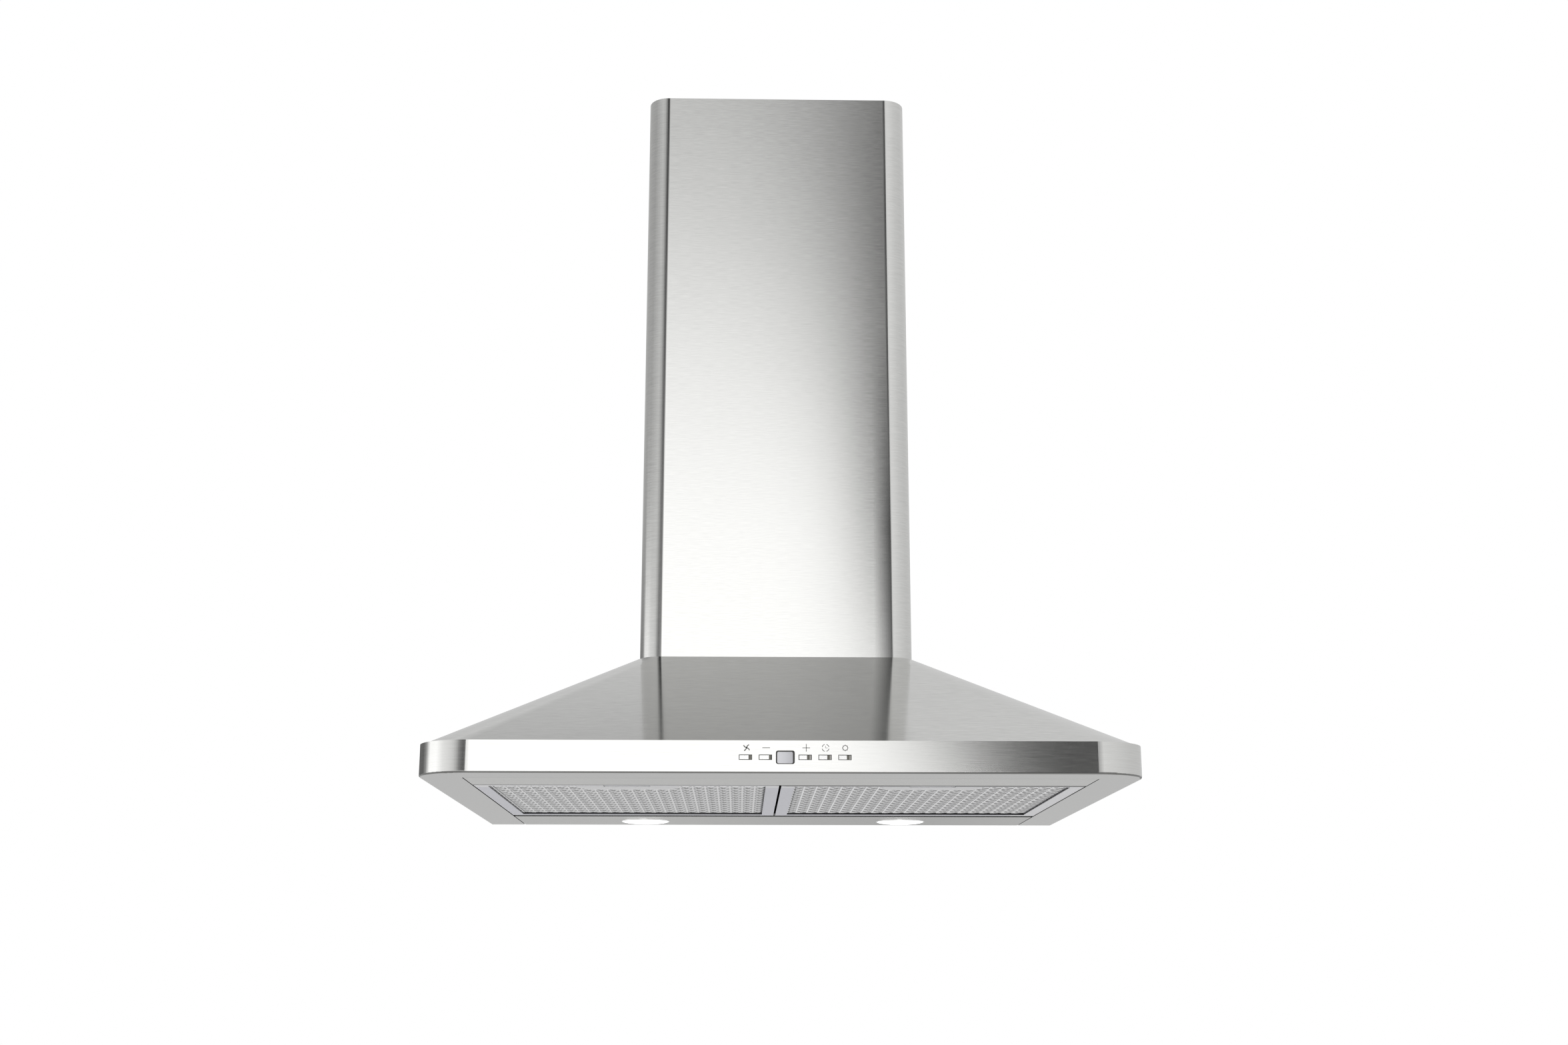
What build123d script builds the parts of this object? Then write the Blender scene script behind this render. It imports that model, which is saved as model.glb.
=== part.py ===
from build123d import *
import os
from math import atan2, cos, floor, radians, sin

# Wall-mounted chimney range hood, in millimetres.
# X runs along the wall to the right, Y runs from the room into the wall, Z runs up.
# The back lies in the plane Y = 0. Heights below are counted from the underside of the
# canopy, and save() moves them so that the centre of the wall-fixing holes is the origin.

# ---- Whole hood ----
canopy_width = 600.0          # over the band, the standard width class
canopy_depth = 500.0          # wall to the front of the band
canopy_height = 143.0         # underside to the foot of the flue cover
flue_width = 267.0
flue_depth = 225.0
flue_height = 593.0           # lower flue cover, foot to top
flue_corner_radius = 21.0
flue_ledge = 1.2              # rim of the canopy left free around the foot of the flue
fixing_height = 75.0          # underside to the centre of the wall-fixing holes

# ---- Sheet metal and shared clearances ----
band_sheet = 1.0              # band and flat panels of the underside
cover_sheet = 0.8             # canopy slopes and flue covers
plate_sheet = 1.2             # zinc-coated back panel and brackets
chassis_sheet = 1.0           # zinc-coated blower chassis
bend_radius = 0.8             # inside radius of the band's lower fold
sheet_gap = 0.2               # between sheets that are slipped into each other
rest_gap = 0.3                # between a moving piece and its seat
running_clearance = 0.05      # radial, shaft in bore
screw_clearance = 0.2         # radial, screw in sheet
overrun = 5.0                 # how far a cut runs past the face it opens
quarter_turn = 90.0

# ---- Band around the canopy ----
band_height = 26.75
band_corner_radius = 43.5
band_lip = 0.6                # band above the lower edge of the slopes
skirt_height = 9.0            # upright edge of the slopes, inside the band
front_flange = 37.0           # band folded in under the front
side_flange = 36.0            # band folded in under the sides

# ---- Underside panels ----
seam_gap = 0.3                # front flange to front strip
side_slit = 1.0               # panel ends to side flanges
strip_depth = 54.7
strip_lap = 15.0              # front strip lapped over the front flange
strip_rear_height = 9.5       # upright rear edge of the front strip
lamp_panel_depth = 100.0
ledge_top = 3.2               # ledge that carries the rear of the filters
ledge_reach = 8.0
back_flange = 14.0            # foot of the back panel, over the lamp panel

# ---- Wall fixing ----
fixing_spacing_x = 300.0
fixing_spacing_z = 50.0
fixing_hole_radius = 4.0

# ---- Grease filters ----
filter_front_gap = 3.0        # front strip to filter
filter_rear_gap = 2.5         # filter to the edge of the ledge
filter_middle_gap = 2.0       # between the two filters
filter_side_gap = 0.8
filter_bottom = 0.3
filter_thickness = 9.0
frame_wall = 1.0
frame_face = 11.5             # visible width of the frame
tongue_width = 30.0
tongue_spacing = 160.0
tongue_length = 8.0           # from the frame over the ledge
mesh_sheet = 0.8
mesh_pitch_x = 16.0
mesh_pitch_y = 14.6
mesh_hole_width = 12.4
mesh_hole_depth = 10.6
mesh_border = 3.0
layer_sheet = 0.4             # fine mesh behind the expanded sheet
layer_count = 3

# ---- Filter latch ----
latch_tab_width = 87.0        # widened part of the frame at the latch
latch_tab_depth = 21.0
latch_slot_width = 40.0
latch_finger_room = 5.0       # in the slot, behind the pulled latch
latch_slot_front = 4.6        # frame edge to slot
latch_block_width = 66.0
latch_block_depth = 11.5
latch_block_height = 5.2
latch_bolt_width = 36.0
latch_bolt_thickness = 2.6
latch_bolt_reach = 2.2        # behind the front strip
latch_finger_width = 38.6
latch_finger_depth = 3.0
latch_spring_radius = 2.0
latch_spring_wire = 0.5
latch_spring_pocket = 2.5

# ---- Lamps ----
lamp_spacing = 266.0
lamp_inset = 50.0             # wall to lamp centre
lamp_bezel_radius = 25.5
lamp_bezel_height = 3.0
lamp_bezel_edge = 1.2
lamp_tube_radius = 23.0
lamp_tube_wall = 1.5
lamp_tube_height = 14.0
lamp_lens_radius = 20.8
lamp_lens_height = 2.4
lamp_lens_recess = 0.5
lamp_module_height = 26.0
lamp_fin_count = 6
lamp_fin_slot = 1.6
lamp_fin_depth = 9.0
lamp_clip_width = 8.0
lamp_clip_reach = 8.0
lamp_clip_height = 7.0
lamp_driver_length = 110.0
lamp_driver_depth = 40.0
lamp_driver_height = 22.0

# ---- Controls in the front of the band ----
control_height = 13.1         # centre of the openings above the underside
button_first_x = -30.4
button_pitch = 16.12
button_names = ["fan", "minus", None, "plus", "timer", "lamp"]
button_opening_width = 10.8
button_opening_height = 4.3
button_gap = 0.35
button_proud = 0.2
button_collar = 0.9           # collar wider than the opening, on each side
button_collar_depth = 1.5
button_travel = 1.0
button_spare = 0.7            # between a pressed button and the carrier's plate
stem_radius = 1.5
stem_length = 8.2
display_width = 15.4
display_height = 11.0
display_corner_radius = 1.8
display_gap = 0.2
display_recess = 0.6
display_lens_depth = 2.4
display_module_margin = 1.4
carrier_margin = 11.0         # carrier beyond the outer buttons
carrier_height = 24.0
carrier_wall = 1.5
carrier_plate = 2.0
carrier_rear_space = 7.5      # plate to circuit board
board_thickness = 1.6
switch_size = 6.4
switch_depth = 5.0
switch_stroke_spare = 0.4

# ---- Blower chassis ----
chassis_width = 236.0
chassis_depth = 206.0
chassis_height = 280.0
chassis_rear_gap = 6.0
chassis_flange = 11.0

# ---- Blower ----
shaft_height = 240.0          # above the underside
shaft_radius = 4.0
scroll_radius = 88.0          # inside
scroll_width = 152.0          # inside
scroll_wall = 2.0
chute_width = 152.0           # inside, front to back
inlet_radius = 58.0
inlet_lip = 1.5
inlet_lip_depth = 6.0
impeller_radius = 75.0
impeller_inner_radius = 61.0
impeller_width = 136.0
impeller_ring = 3.0
impeller_disc = 2.0
blade_count = 28
blade_thickness = 0.9
blade_angle = 38.0
hub_radius = 12.0
hub_length = 20.0
motor_radius = 44.0
motor_length = 57.0
motor_gap = 8.0               # impeller disc to motor
motor_shell_step = 5.0
bearing_radius = 8.0
bearing_length = 6.0
bracket_disc_radius = 50.0
bracket_disc = 3.0
bracket_post_inner = 46.0
bracket_post_outer = 56.0
bracket_post_width = 12.0
bracket_foot_radius = 73.0
bracket_screw_circle = 66.0
bracket_foot = 2.0
bracket_arms = 3

# ---- Outlet collar and back-draught flaps ----
collar_radius = 74.5
collar_wall = 2.0
collar_height = 45.0
collar_flange_radius = 88.0
collar_flange = 2.5
collar_screw_circle = 81.0
collar_screws = 4
pin_radius = 1.5
pin_height = 17.0             # above the chassis
flap_thickness = 1.4
flap_radius = 71.6
flap_hinge_gap = 3.8          # pin axis to the edge of the flap
knuckle_radius = 3.2
knuckle_length = 15.0
knuckle_pitch = 17.0
knuckle_pairs = 3
stop_width = 3.0
stop_height = 2.4

# ---- Flue covers ----
flue_return = 15.0            # folded in along the wall
flue_nest_gap = 0.6           # between lower and upper cover
upper_flue_foot = 33.0        # above the canopy, when pushed right down
upper_flue_drop = 1.0         # below the top of the lower cover
foot_bracket_length = 90.0
foot_bracket_reach = 13.4
bracket_height = 25.0
bracket_base_width = 230.0
bracket_ear = 26.0
bracket_ear_gap = 0.4
bracket_top_gap = 3.0
bracket_hole_spacing = 200.0
bracket_hole_radius = 3.0

# ---- Screws ----
screw_radius = 2.0
screw_head_radius = 3.4
screw_head_height = 2.2
screw_length = 8.0
chassis_screw_spacing = 70.0
foot_screw_spacing = 50.0

# ---- Electrical pieces in the chassis ----
capacitor_radius = 14.0
capacitor_height = 52.0
capacitor_base = 300.0
capacitor_clip_height = 12.0
capacitor_clip_wall = 1.2
capacitor_place_y = -180.0
terminal_box_depth = 30.0
terminal_box_width = 70.0
terminal_box_height = 80.0
terminal_box_base = 330.0
terminal_box_place_y = -165.0
terminal_box_wall = 2.0
terminal_block_size = (16.0, 44.0, 22.0)
gland_x = -98.0
gland_y = -32.0
gland_radius = 9.0
gland_bore_radius = 4.0
gland_height = 16.0
gland_thread_radius = 6.5
gland_thread_length = 8.0
gland_nut_height = 4.0

# ---- Derived places ----
front_y = -canopy_depth
slope_foot = band_height - band_lip
slope_inset = band_sheet + sheet_gap
slope_half_width = canopy_width / 2 - slope_inset
slope_run = (canopy_depth - slope_inset) - (flue_depth + flue_ledge)
slope_rise = canopy_height - slope_foot
slope_drop = cover_sheet / cos(atan2(slope_rise, slope_run))
opening_half_width = canopy_width / 2 - side_flange
panel_half_width = opening_half_width - side_slit
strip_front = front_y + front_flange + seam_gap
strip_rear = strip_front + strip_depth
ledge_front = -lamp_panel_depth - ledge_reach
filter_front = strip_rear + filter_front_gap
filter_rear = ledge_front - filter_rear_gap
filter_width = opening_half_width - filter_side_gap - filter_middle_gap / 2
filter_centre_x = filter_middle_gap / 2 + filter_width / 2
filter_top = filter_bottom + filter_thickness
filter_floor = filter_bottom + frame_wall
tongue_bottom = ledge_top + rest_gap
latch_bay_rear = filter_front + latch_tab_depth
latch_bottom = filter_floor + rest_gap
latch_block_front = filter_front + frame_wall + rest_gap + sheet_gap
latch_block_rear = latch_block_front + latch_block_depth
latch_middle_z = latch_bottom + latch_block_height / 2
latch_tip = strip_rear - band_sheet - latch_bolt_reach
latch_travel = latch_bolt_reach + band_sheet + rest_gap
latch_slot_depth = latch_finger_depth + latch_travel + latch_finger_room
lamp_y = -lamp_inset
chassis_rear = -chassis_rear_gap
chassis_front = chassis_rear - chassis_depth
chassis_middle_y = (chassis_front + chassis_rear) / 2
chassis_top = canopy_height + chassis_height
chassis_inner_half = chassis_width / 2 - chassis_sheet
air_half_width = chassis_inner_half - chassis_flange
shaft_y = chassis_middle_y
scroll_half = scroll_width / 2
scroll_outer_half = scroll_half + scroll_wall
chute_front = shaft_y - scroll_radius
chute_rear = chute_front + chute_width
collar_y = (chute_front + chute_rear) / 2
pin_z = chassis_top + pin_height
motor_start = impeller_disc / 2 + motor_gap
motor_end = motor_start + motor_length
flue_top = canopy_height + flue_height
upper_flue_inset = cover_sheet + flue_nest_gap
upper_flue_width = flue_width - 2 * upper_flue_inset
upper_flue_bottom = canopy_height + upper_flue_foot
upper_flue_top = flue_top - upper_flue_drop
carrier_front_space = rest_gap + button_collar_depth + button_travel + button_spare
board_front = front_y + band_sheet + carrier_front_space + carrier_plate + carrier_rear_space
carrier_plate_front = front_y + band_sheet + carrier_front_space
carrier_plate_rear = carrier_plate_front + carrier_plate


# ---- Basic shapes ----
def block(x0, x1, y0, y1, z0, z1):
    """Rectangular block between two opposite corners."""
    return Pos((x0 + x1) / 2, (y0 + y1) / 2, (z0 + z1) / 2) * Box(x1 - x0, y1 - y0, z1 - z0)


def upright(radius, x, y, z0, z1):
    """Upright cylinder."""
    return Pos(x, y, (z0 + z1) / 2) * Cylinder(radius, z1 - z0)


def crosswise(radius, x0, x1, y, z):
    """Cylinder that lies along the wall."""
    return Pos((x0 + x1) / 2, y, z) * Rot(0, quarter_turn, 0) * Cylinder(radius, x1 - x0)


def endwise(radius, x, z, y0, y1):
    """Cylinder that points at the wall."""
    return Pos(x, (y0 + y1) / 2, z) * Rot(quarter_turn, 0, 0) * Cylinder(radius, y1 - y0)


def casing_outline(width, depth, corner, rear=0.0):
    """Plan of a casing: square at the wall, round at its two front corners."""
    half = width / 2
    right_side = Line((half, rear), (half, corner - depth))
    right_corner = JernArc(right_side @ 1, (0, -1), corner, -quarter_turn)
    front = Line(right_corner @ 1, (corner - half, -depth))
    left_corner = JernArc(front @ 1, (-1, 0), corner, -quarter_turn)
    left_side = Line(left_corner @ 1, (-half, rear))
    wall_side = Line(left_side @ 1, right_side @ 0)
    return make_face([right_side, right_corner, front, left_corner, left_side, wall_side])


def inset_outline(inset, rear=0.0):
    """Plan of the band, moved in by the given distance."""
    corner = band_corner_radius - inset
    return casing_outline(canopy_width - 2 * inset, canopy_depth - inset, corner, rear)


def side_profile(y0, y1, z0, z1):
    """Rectangle in the plane that the shaft is square to."""
    return Pos((y0 + y1) / 2, (z0 + z1) / 2) * Rectangle(y1 - y0, z1 - z0)


def swept_across(profile, x0, x1):
    """Side view profile, given thickness along the wall."""
    return extrude(Plane.YZ.offset(x0) * profile, x1 - x0)


def screw(length=screw_length):
    """Pan-head screw, head up, its seat in the plane Z = 0."""
    head = Pos(0, 0, screw_head_height / 2) * Cylinder(screw_head_radius, screw_head_height)
    head = fillet(head.edges().group_by(Axis.Z)[-1], screw_head_height / 3)
    return head + Pos(0, 0, -length / 2) * Cylinder(screw_radius, length)


def screw_hole(x, y, z):
    """Clearance hole for an upright screw, through every sheet near its seat."""
    return upright(screw_radius + screw_clearance, x, y, z - overrun, z + overrun)


def save(node, solid):
    """Write one piece, measured from the centre of the wall-fixing holes."""
    export_step(Pos(0, 0, -fixing_height) * solid, f"parts/{node}.step")


# ---- Places of repeated pieces ----
def button_x(place):
    return button_first_x + place * button_pitch


display_place = button_names.index(None)
display_x = button_x(display_place)
button_places = {name: button_x(n) for n, name in enumerate(button_names) if name}
carrier_left = button_first_x - carrier_margin
carrier_right = button_x(len(button_names) - 1) + carrier_margin
lamp_places = {"left": -lamp_spacing / 2, "right": lamp_spacing / 2}
filter_places = {"left": -filter_centre_x, "right": filter_centre_x}
chassis_screw_x = air_half_width + chassis_flange / 2
chassis_screw_places = [
    (side * chassis_screw_x, chassis_middle_y + step * chassis_screw_spacing)
    for side in (-1, 1)
    for step in (-1, 0, 1)
]
flue_inner_half = flue_width / 2 - cover_sheet
foot_bracket_inner = flue_inner_half - foot_bracket_reach
foot_screw_x = foot_bracket_inner + (foot_bracket_reach - plate_sheet) / 2
foot_screw_places = [
    (side * foot_screw_x, chassis_middle_y + step * foot_screw_spacing / 2)
    for side in (-1, 1)
    for step in (-1, 1)
]
collar_screw_places = [
    (
        collar_screw_circle * cos(radians((n + 0.5) * 360 / collar_screws)),
        collar_y + collar_screw_circle * sin(radians((n + 0.5) * 360 / collar_screws)),
    )
    for n in range(collar_screws)
]
bracket_angles = [n * 360 / bracket_arms + quarter_turn for n in range(bracket_arms)]


# ---- Canopy ----
def slopes():
    """Front and side slopes with cone-shaped corners, as one closed solid."""
    foot = Pos(0, 0, slope_foot) * inset_outline(slope_inset)
    head_width = flue_width + 2 * flue_ledge
    head_corner = flue_corner_radius + flue_ledge
    head = casing_outline(head_width, flue_depth + flue_ledge, head_corner)
    return loft([foot, Pos(0, 0, canopy_height) * head], ruled=True)


def canopy_shell():
    outside = slopes()
    shell = outside - Pos(0, 0, -slope_drop) * outside
    ring = inset_outline(slope_inset) - inset_outline(slope_inset + cover_sheet, overrun)
    shell += Pos(0, 0, slope_foot - skirt_height) * extrude(ring, skirt_height)
    shell -= block(
        carrier_left - sheet_gap, carrier_right + sheet_gap,
        front_y, front_y + band_sheet + carrier_front_space,
        slope_foot - skirt_height - overrun, band_sheet + carrier_height + sheet_gap,
    )
    shell -= block(
        -air_half_width, air_half_width,
        chassis_front + chassis_sheet + chassis_flange, chassis_rear - chassis_sheet - chassis_flange,
        canopy_height - overrun, canopy_height + overrun,
    )
    for x, y in chassis_screw_places + foot_screw_places:
        shell -= screw_hole(x, y, canopy_height)
    return shell


def rim_band():
    outside = extrude(inset_outline(0), band_height)
    lower_edges = outside.edges().group_by(Axis.Z)[0].sort_by(Axis.Y)[:-1]
    outside = fillet(lower_edges, bend_radius + band_sheet)
    inside = extrude(inset_outline(band_sheet, overrun), band_height)
    lower_edges = inside.edges().group_by(Axis.Z)[0].sort_by(Axis.Y)[:-1]
    inside = fillet(lower_edges, bend_radius)
    band = outside - Pos(0, 0, band_sheet) * inside
    band -= block(
        -opening_half_width, opening_half_width,
        front_y + front_flange, overrun,
        -overrun, band_sheet + overrun,
    )
    half_width = button_opening_width / 2
    half_height = button_opening_height / 2
    for x in button_places.values():
        band -= block(
            x - half_width, x + half_width,
            front_y - overrun, front_y + overrun,
            control_height - half_height, control_height + half_height,
        )
    return band - display_block(0, front_y - overrun, front_y + overrun)


def display_block(gap, y0, y1):
    """Block with rounded corners that fills the display opening, less a gap all round."""
    window = RectangleRounded(
        display_width - 2 * gap, display_height - 2 * gap, display_corner_radius - gap
    )
    plane = Plane(origin=(display_x, y0, control_height), x_dir=(1, 0, 0), z_dir=(0, -1, 0))
    return extrude(plane * window, y0 - y1)


def fixing_holes():
    """The four holes for the wall screws."""
    holes = []
    for x in (-fixing_spacing_x / 2, fixing_spacing_x / 2):
        for step in (-fixing_spacing_z / 2, fixing_spacing_z / 2):
            holes.append(endwise(fixing_hole_radius, x, fixing_height + step, -overrun, overrun))
    return holes


def back_panel():
    low_half = slope_half_width - cover_sheet - sheet_gap
    head_half = flue_width / 2 + flue_ledge
    shrink = (slope_half_width - head_half) / slope_rise
    top = canopy_height - slope_drop - sheet_gap
    knee = slope_foot - skirt_height
    top_half = slope_half_width - sheet_gap - (top - slope_foot + slope_drop) * shrink - plate_sheet
    slope_start = slope_foot - slope_drop - plate_sheet / shrink
    outline = Polyline(
        (-low_half, band_sheet), (low_half, band_sheet), (low_half, min(slope_start, knee)),
        (low_half - plate_sheet, slope_start + plate_sheet), (top_half, top),
        (-top_half, top), (plate_sheet - low_half, slope_start + plate_sheet),
        (-low_half, min(slope_start, knee)), close=True,
    )
    panel = extrude(Plane.XZ * make_face(outline), plate_sheet)
    panel += block(
        -panel_half_width, panel_half_width,
        -back_flange, 0,
        band_sheet, band_sheet + plate_sheet,
    )
    for hole in fixing_holes():
        panel -= hole
    return panel


def front_strip():
    strip = block(-panel_half_width, panel_half_width, strip_front, strip_rear, 0, band_sheet)
    strip += block(
        -panel_half_width, panel_half_width,
        strip_front - strip_lap, strip_front + strip_lap,
        band_sheet, 2 * band_sheet,
    )
    strip += block(
        -panel_half_width, panel_half_width,
        strip_rear - band_sheet, strip_rear,
        0, strip_rear_height,
    )
    half_width = latch_bolt_width / 2 + rest_gap
    half_height = latch_bolt_thickness / 2 + rest_gap
    for x in filter_places.values():
        strip -= block(
            x - half_width, x + half_width,
            strip_rear - band_sheet - overrun, strip_rear + overrun,
            latch_middle_z - half_height, latch_middle_z + half_height,
        )
    return strip


def lamp_panel():
    panel = block(-panel_half_width, panel_half_width, -lamp_panel_depth, 0, 0, band_sheet)
    panel += block(
        -panel_half_width, panel_half_width,
        -lamp_panel_depth, band_sheet - lamp_panel_depth,
        0, ledge_top,
    )
    panel += block(
        -panel_half_width, panel_half_width,
        ledge_front, band_sheet - lamp_panel_depth,
        ledge_top - band_sheet, ledge_top,
    )
    for x in lamp_places.values():
        panel -= upright(lamp_tube_radius + sheet_gap, x, lamp_y, -overrun, overrun)
    return panel


# ---- Grease filters ----
def latch_bay(x, spare):
    """Space kept free for the latch inside the filter."""
    half = latch_block_width / 2 + spare
    return block(x - half, x + half, filter_front - overrun, latch_bay_rear, filter_floor, filter_top)


def filter_frame(x):
    left = x - filter_width / 2
    right = x + filter_width / 2
    frame = block(left, right, filter_front, filter_rear, filter_bottom, filter_top)
    frame -= block(
        left + frame_wall, right - frame_wall,
        filter_front + frame_wall, filter_rear - frame_wall,
        filter_floor, filter_top - frame_wall,
    )
    frame -= block(
        left + frame_face, right - frame_face,
        filter_front + frame_face, filter_rear - frame_face,
        filter_bottom - overrun, filter_top + overrun,
    )
    half_tab = latch_tab_width / 2
    tab = block(
        x - half_tab, x + half_tab,
        filter_front, latch_bay_rear,
        filter_bottom, filter_floor,
    )
    tab = chamfer(tab.edges().filter_by(Axis.Z).group_by(Axis.Y)[-1], frame_face / 2)
    frame += tab
    half_slot = latch_slot_width / 2
    slot_front = filter_front + latch_slot_front
    frame -= block(
        x - half_slot, x + half_slot,
        slot_front, slot_front + latch_slot_depth,
        filter_bottom - overrun, filter_floor + rest_gap,
    )
    half_bolt = latch_bolt_width / 2 + rest_gap
    half_height = latch_bolt_thickness / 2 + rest_gap
    frame -= block(
        x - half_bolt, x + half_bolt,
        filter_front - overrun, filter_front + frame_wall + rest_gap,
        latch_middle_z - half_height, latch_middle_z + half_height,
    )
    for side in (-1, 1):
        middle = x + side * tongue_spacing / 2
        frame += block(
            middle - tongue_width / 2, middle + tongue_width / 2,
            filter_rear - frame_wall, filter_rear + tongue_length,
            tongue_bottom, tongue_bottom + frame_wall,
        )
    return frame


def filter_mesh(x):
    """Expanded lower sheet of the filter: one sheet with staggered diamond openings."""
    half_width = filter_width / 2 - frame_wall
    front = filter_front + frame_wall
    rear = filter_rear - frame_wall
    half_bay = latch_block_width / 2 + sheet_gap
    outline = Polyline(
        (x - half_width, front), (x - half_bay, front), (x - half_bay, latch_bay_rear),
        (x + half_bay, latch_bay_rear), (x + half_bay, front), (x + half_width, front),
        (x + half_width, rear), (x - half_width, rear), close=True,
    )
    middle_y = (front + rear) / 2
    usable_x = filter_width - 2 * frame_face - mesh_hole_width
    usable_y = rear - front - 2 * mesh_border - mesh_hole_depth
    rows = floor(usable_y / mesh_pitch_y) + 1
    holes = []
    for row in range(rows):
        y = middle_y + (row - (rows - 1) / 2) * mesh_pitch_y
        columns = floor(usable_x / mesh_pitch_x) + 1 - row % 2
        for column in range(columns):
            hole_x = x + (column - (columns - 1) / 2) * mesh_pitch_x
            beside_bay = abs(hole_x - x) > half_bay + mesh_hole_width / 2 + mesh_border
            behind_bay = y > latch_bay_rear + mesh_hole_depth / 2 + mesh_border
            if beside_bay or behind_bay:
                holes.append(diamond(hole_x, y))
    sheet = Face(Wire(outline.edges()), [Wire(hole.edges()) for hole in holes])
    return Pos(0, 0, filter_floor) * extrude(sheet, mesh_sheet, dir=(0, 0, 1))


def diamond(x, y):
    """One opening of the expanded sheet."""
    return Polyline(
        (x - mesh_hole_width / 2, y), (x, y - mesh_hole_depth / 2),
        (x + mesh_hole_width / 2, y), (x, y + mesh_hole_depth / 2), close=True,
    )


def filter_layers(x):
    """The layers of fine mesh that catch the grease, as thin sheets."""
    half_width = filter_width / 2 - frame_wall
    lowest = filter_floor + mesh_sheet
    pitch = (filter_top - frame_wall - lowest) / layer_count
    layers = []
    for n in range(layer_count):
        top = lowest + (n + 1) * pitch
        layer = block(
            x - half_width, x + half_width,
            filter_front + frame_wall, filter_rear - frame_wall,
            top - layer_sheet, top,
        )
        layers.append((layer - latch_bay(x, sheet_gap)).solid())
    return Compound(layers)


def latch_spring_places(x):
    step = (latch_block_width / 2 + latch_bolt_width / 2) / 2
    return [x - step, x + step]


def filter_latch(x):
    half_block = latch_block_width / 2 - rest_gap
    latch = block(
        x - half_block, x + half_block,
        latch_block_front, latch_block_rear,
        latch_bottom, latch_bottom + latch_block_height,
    )
    latch += block(
        x - latch_bolt_width / 2, x + latch_bolt_width / 2,
        latch_tip, latch_block_rear,
        latch_middle_z - latch_bolt_thickness / 2, latch_middle_z + latch_bolt_thickness / 2,
    )
    finger_front = filter_front + latch_slot_front + rest_gap
    latch += block(
        x - latch_finger_width / 2, x + latch_finger_width / 2,
        finger_front, finger_front + latch_finger_depth,
        filter_bottom, latch_bottom + frame_wall,
    )
    pocket_radius = latch_spring_radius + sheet_gap
    for spring_x in latch_spring_places(x):
        latch -= endwise(
            pocket_radius, spring_x, latch_middle_z,
            latch_block_rear - latch_spring_pocket, latch_block_rear + overrun,
        )
    return latch


def latch_springs(x):
    """Two small compression springs, as plain sleeves, from the latch to the filter pack."""
    pair = []
    for spring_x in latch_spring_places(x):
        start = latch_block_rear - latch_spring_pocket
        sleeve = endwise(latch_spring_radius, spring_x, latch_middle_z, start, latch_bay_rear)
        inner = latch_spring_radius - latch_spring_wire
        sleeve -= endwise(inner, spring_x, latch_middle_z, start - overrun, latch_bay_rear + overrun)
        pair.append(sleeve)
    return Compound(pair)


# ---- Lamps ----
def lamp_bezel(x):
    flange = upright(lamp_bezel_radius, x, lamp_y, -lamp_bezel_height, 0)
    flange = fillet(flange.edges().group_by(Axis.Z)[0], lamp_bezel_edge)
    bezel = flange + upright(lamp_tube_radius, x, lamp_y, -band_sheet, lamp_tube_height)
    bore = lamp_tube_radius - lamp_tube_wall
    bezel -= upright(bore, x, lamp_y, lens_top(), lamp_tube_height + overrun)
    bezel -= upright(lamp_lens_radius, x, lamp_y, -lamp_bezel_height - overrun, lens_top())
    return bezel


def lens_top():
    return lamp_lens_recess - lamp_bezel_height + lamp_lens_height


def lamp_lens(x):
    lens = upright(lamp_lens_radius, x, lamp_y, lens_top() - lamp_lens_height, lens_top())
    return fillet(lens.edges().group_by(Axis.Z)[0], lamp_bezel_edge / 2)


def lamp_module(x):
    """Round light module whose upper end has cooling slots."""
    radius = lamp_tube_radius - lamp_tube_wall - sheet_gap
    base = lens_top()
    module = upright(radius, x, lamp_y, base, base + lamp_module_height)
    slot_pitch = 2 * radius / lamp_fin_count
    for n in range(lamp_fin_count):
        slot_x = x + (n - (lamp_fin_count - 1) / 2) * slot_pitch
        module -= block(
            slot_x - lamp_fin_slot / 2, slot_x + lamp_fin_slot / 2,
            lamp_y - lamp_tube_radius, lamp_y + lamp_tube_radius,
            base + lamp_module_height - lamp_fin_depth, base + lamp_module_height + overrun,
        )
    return module


def lamp_clips():
    """Spring clips that hold each bezel against the panel."""
    clips = []
    for x in lamp_places.values():
        for side in (-1, 1):
            near = x + side * lamp_tube_radius
            far = near + side * lamp_clip_reach
            half = lamp_clip_width / 2
            wall = side * cover_sheet
            upright_leg = block(
                min(near, near + wall), max(near, near + wall),
                lamp_y - half, lamp_y + half,
                band_sheet, band_sheet + lamp_clip_height,
            )
            foot = block(
                min(near, far), max(near, far),
                lamp_y - half, lamp_y + half,
                band_sheet, band_sheet + cover_sheet,
            )
            clips.append(upright_leg + foot - upright(lamp_tube_radius, x, lamp_y, 0, lamp_tube_height))
    return Compound([clip.solid() for clip in clips])


def lamp_driver():
    half = lamp_driver_length / 2
    rear = -back_flange - sheet_gap
    body = block(
        -half, half, rear - lamp_driver_depth, rear, band_sheet, band_sheet + lamp_driver_height
    )
    return fillet(body.edges().filter_by(Axis.Z), flap_thickness)


# ---- Controls ----
def button(x):
    half_width = button_opening_width / 2 - button_gap
    half_height = button_opening_height / 2 - button_gap
    collar_front = front_y + band_sheet + rest_gap
    rear = collar_front + button_collar_depth
    cap = block(
        x - half_width, x + half_width,
        front_y - button_proud, rear,
        control_height - half_height, control_height + half_height,
    )
    cap = fillet(cap.edges().group_by(Axis.Y)[0], button_gap)
    collar_width = button_opening_width / 2 + button_collar
    collar_height = button_opening_height / 2 + button_collar
    cap += block(
        x - collar_width, x + collar_width,
        collar_front, rear,
        control_height - collar_height, control_height + collar_height,
    )
    return cap + endwise(stem_radius, x, control_height, rear - rest_gap, stem_end())


def stem_end():
    return front_y + band_sheet + rest_gap + button_collar_depth + stem_length


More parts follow.
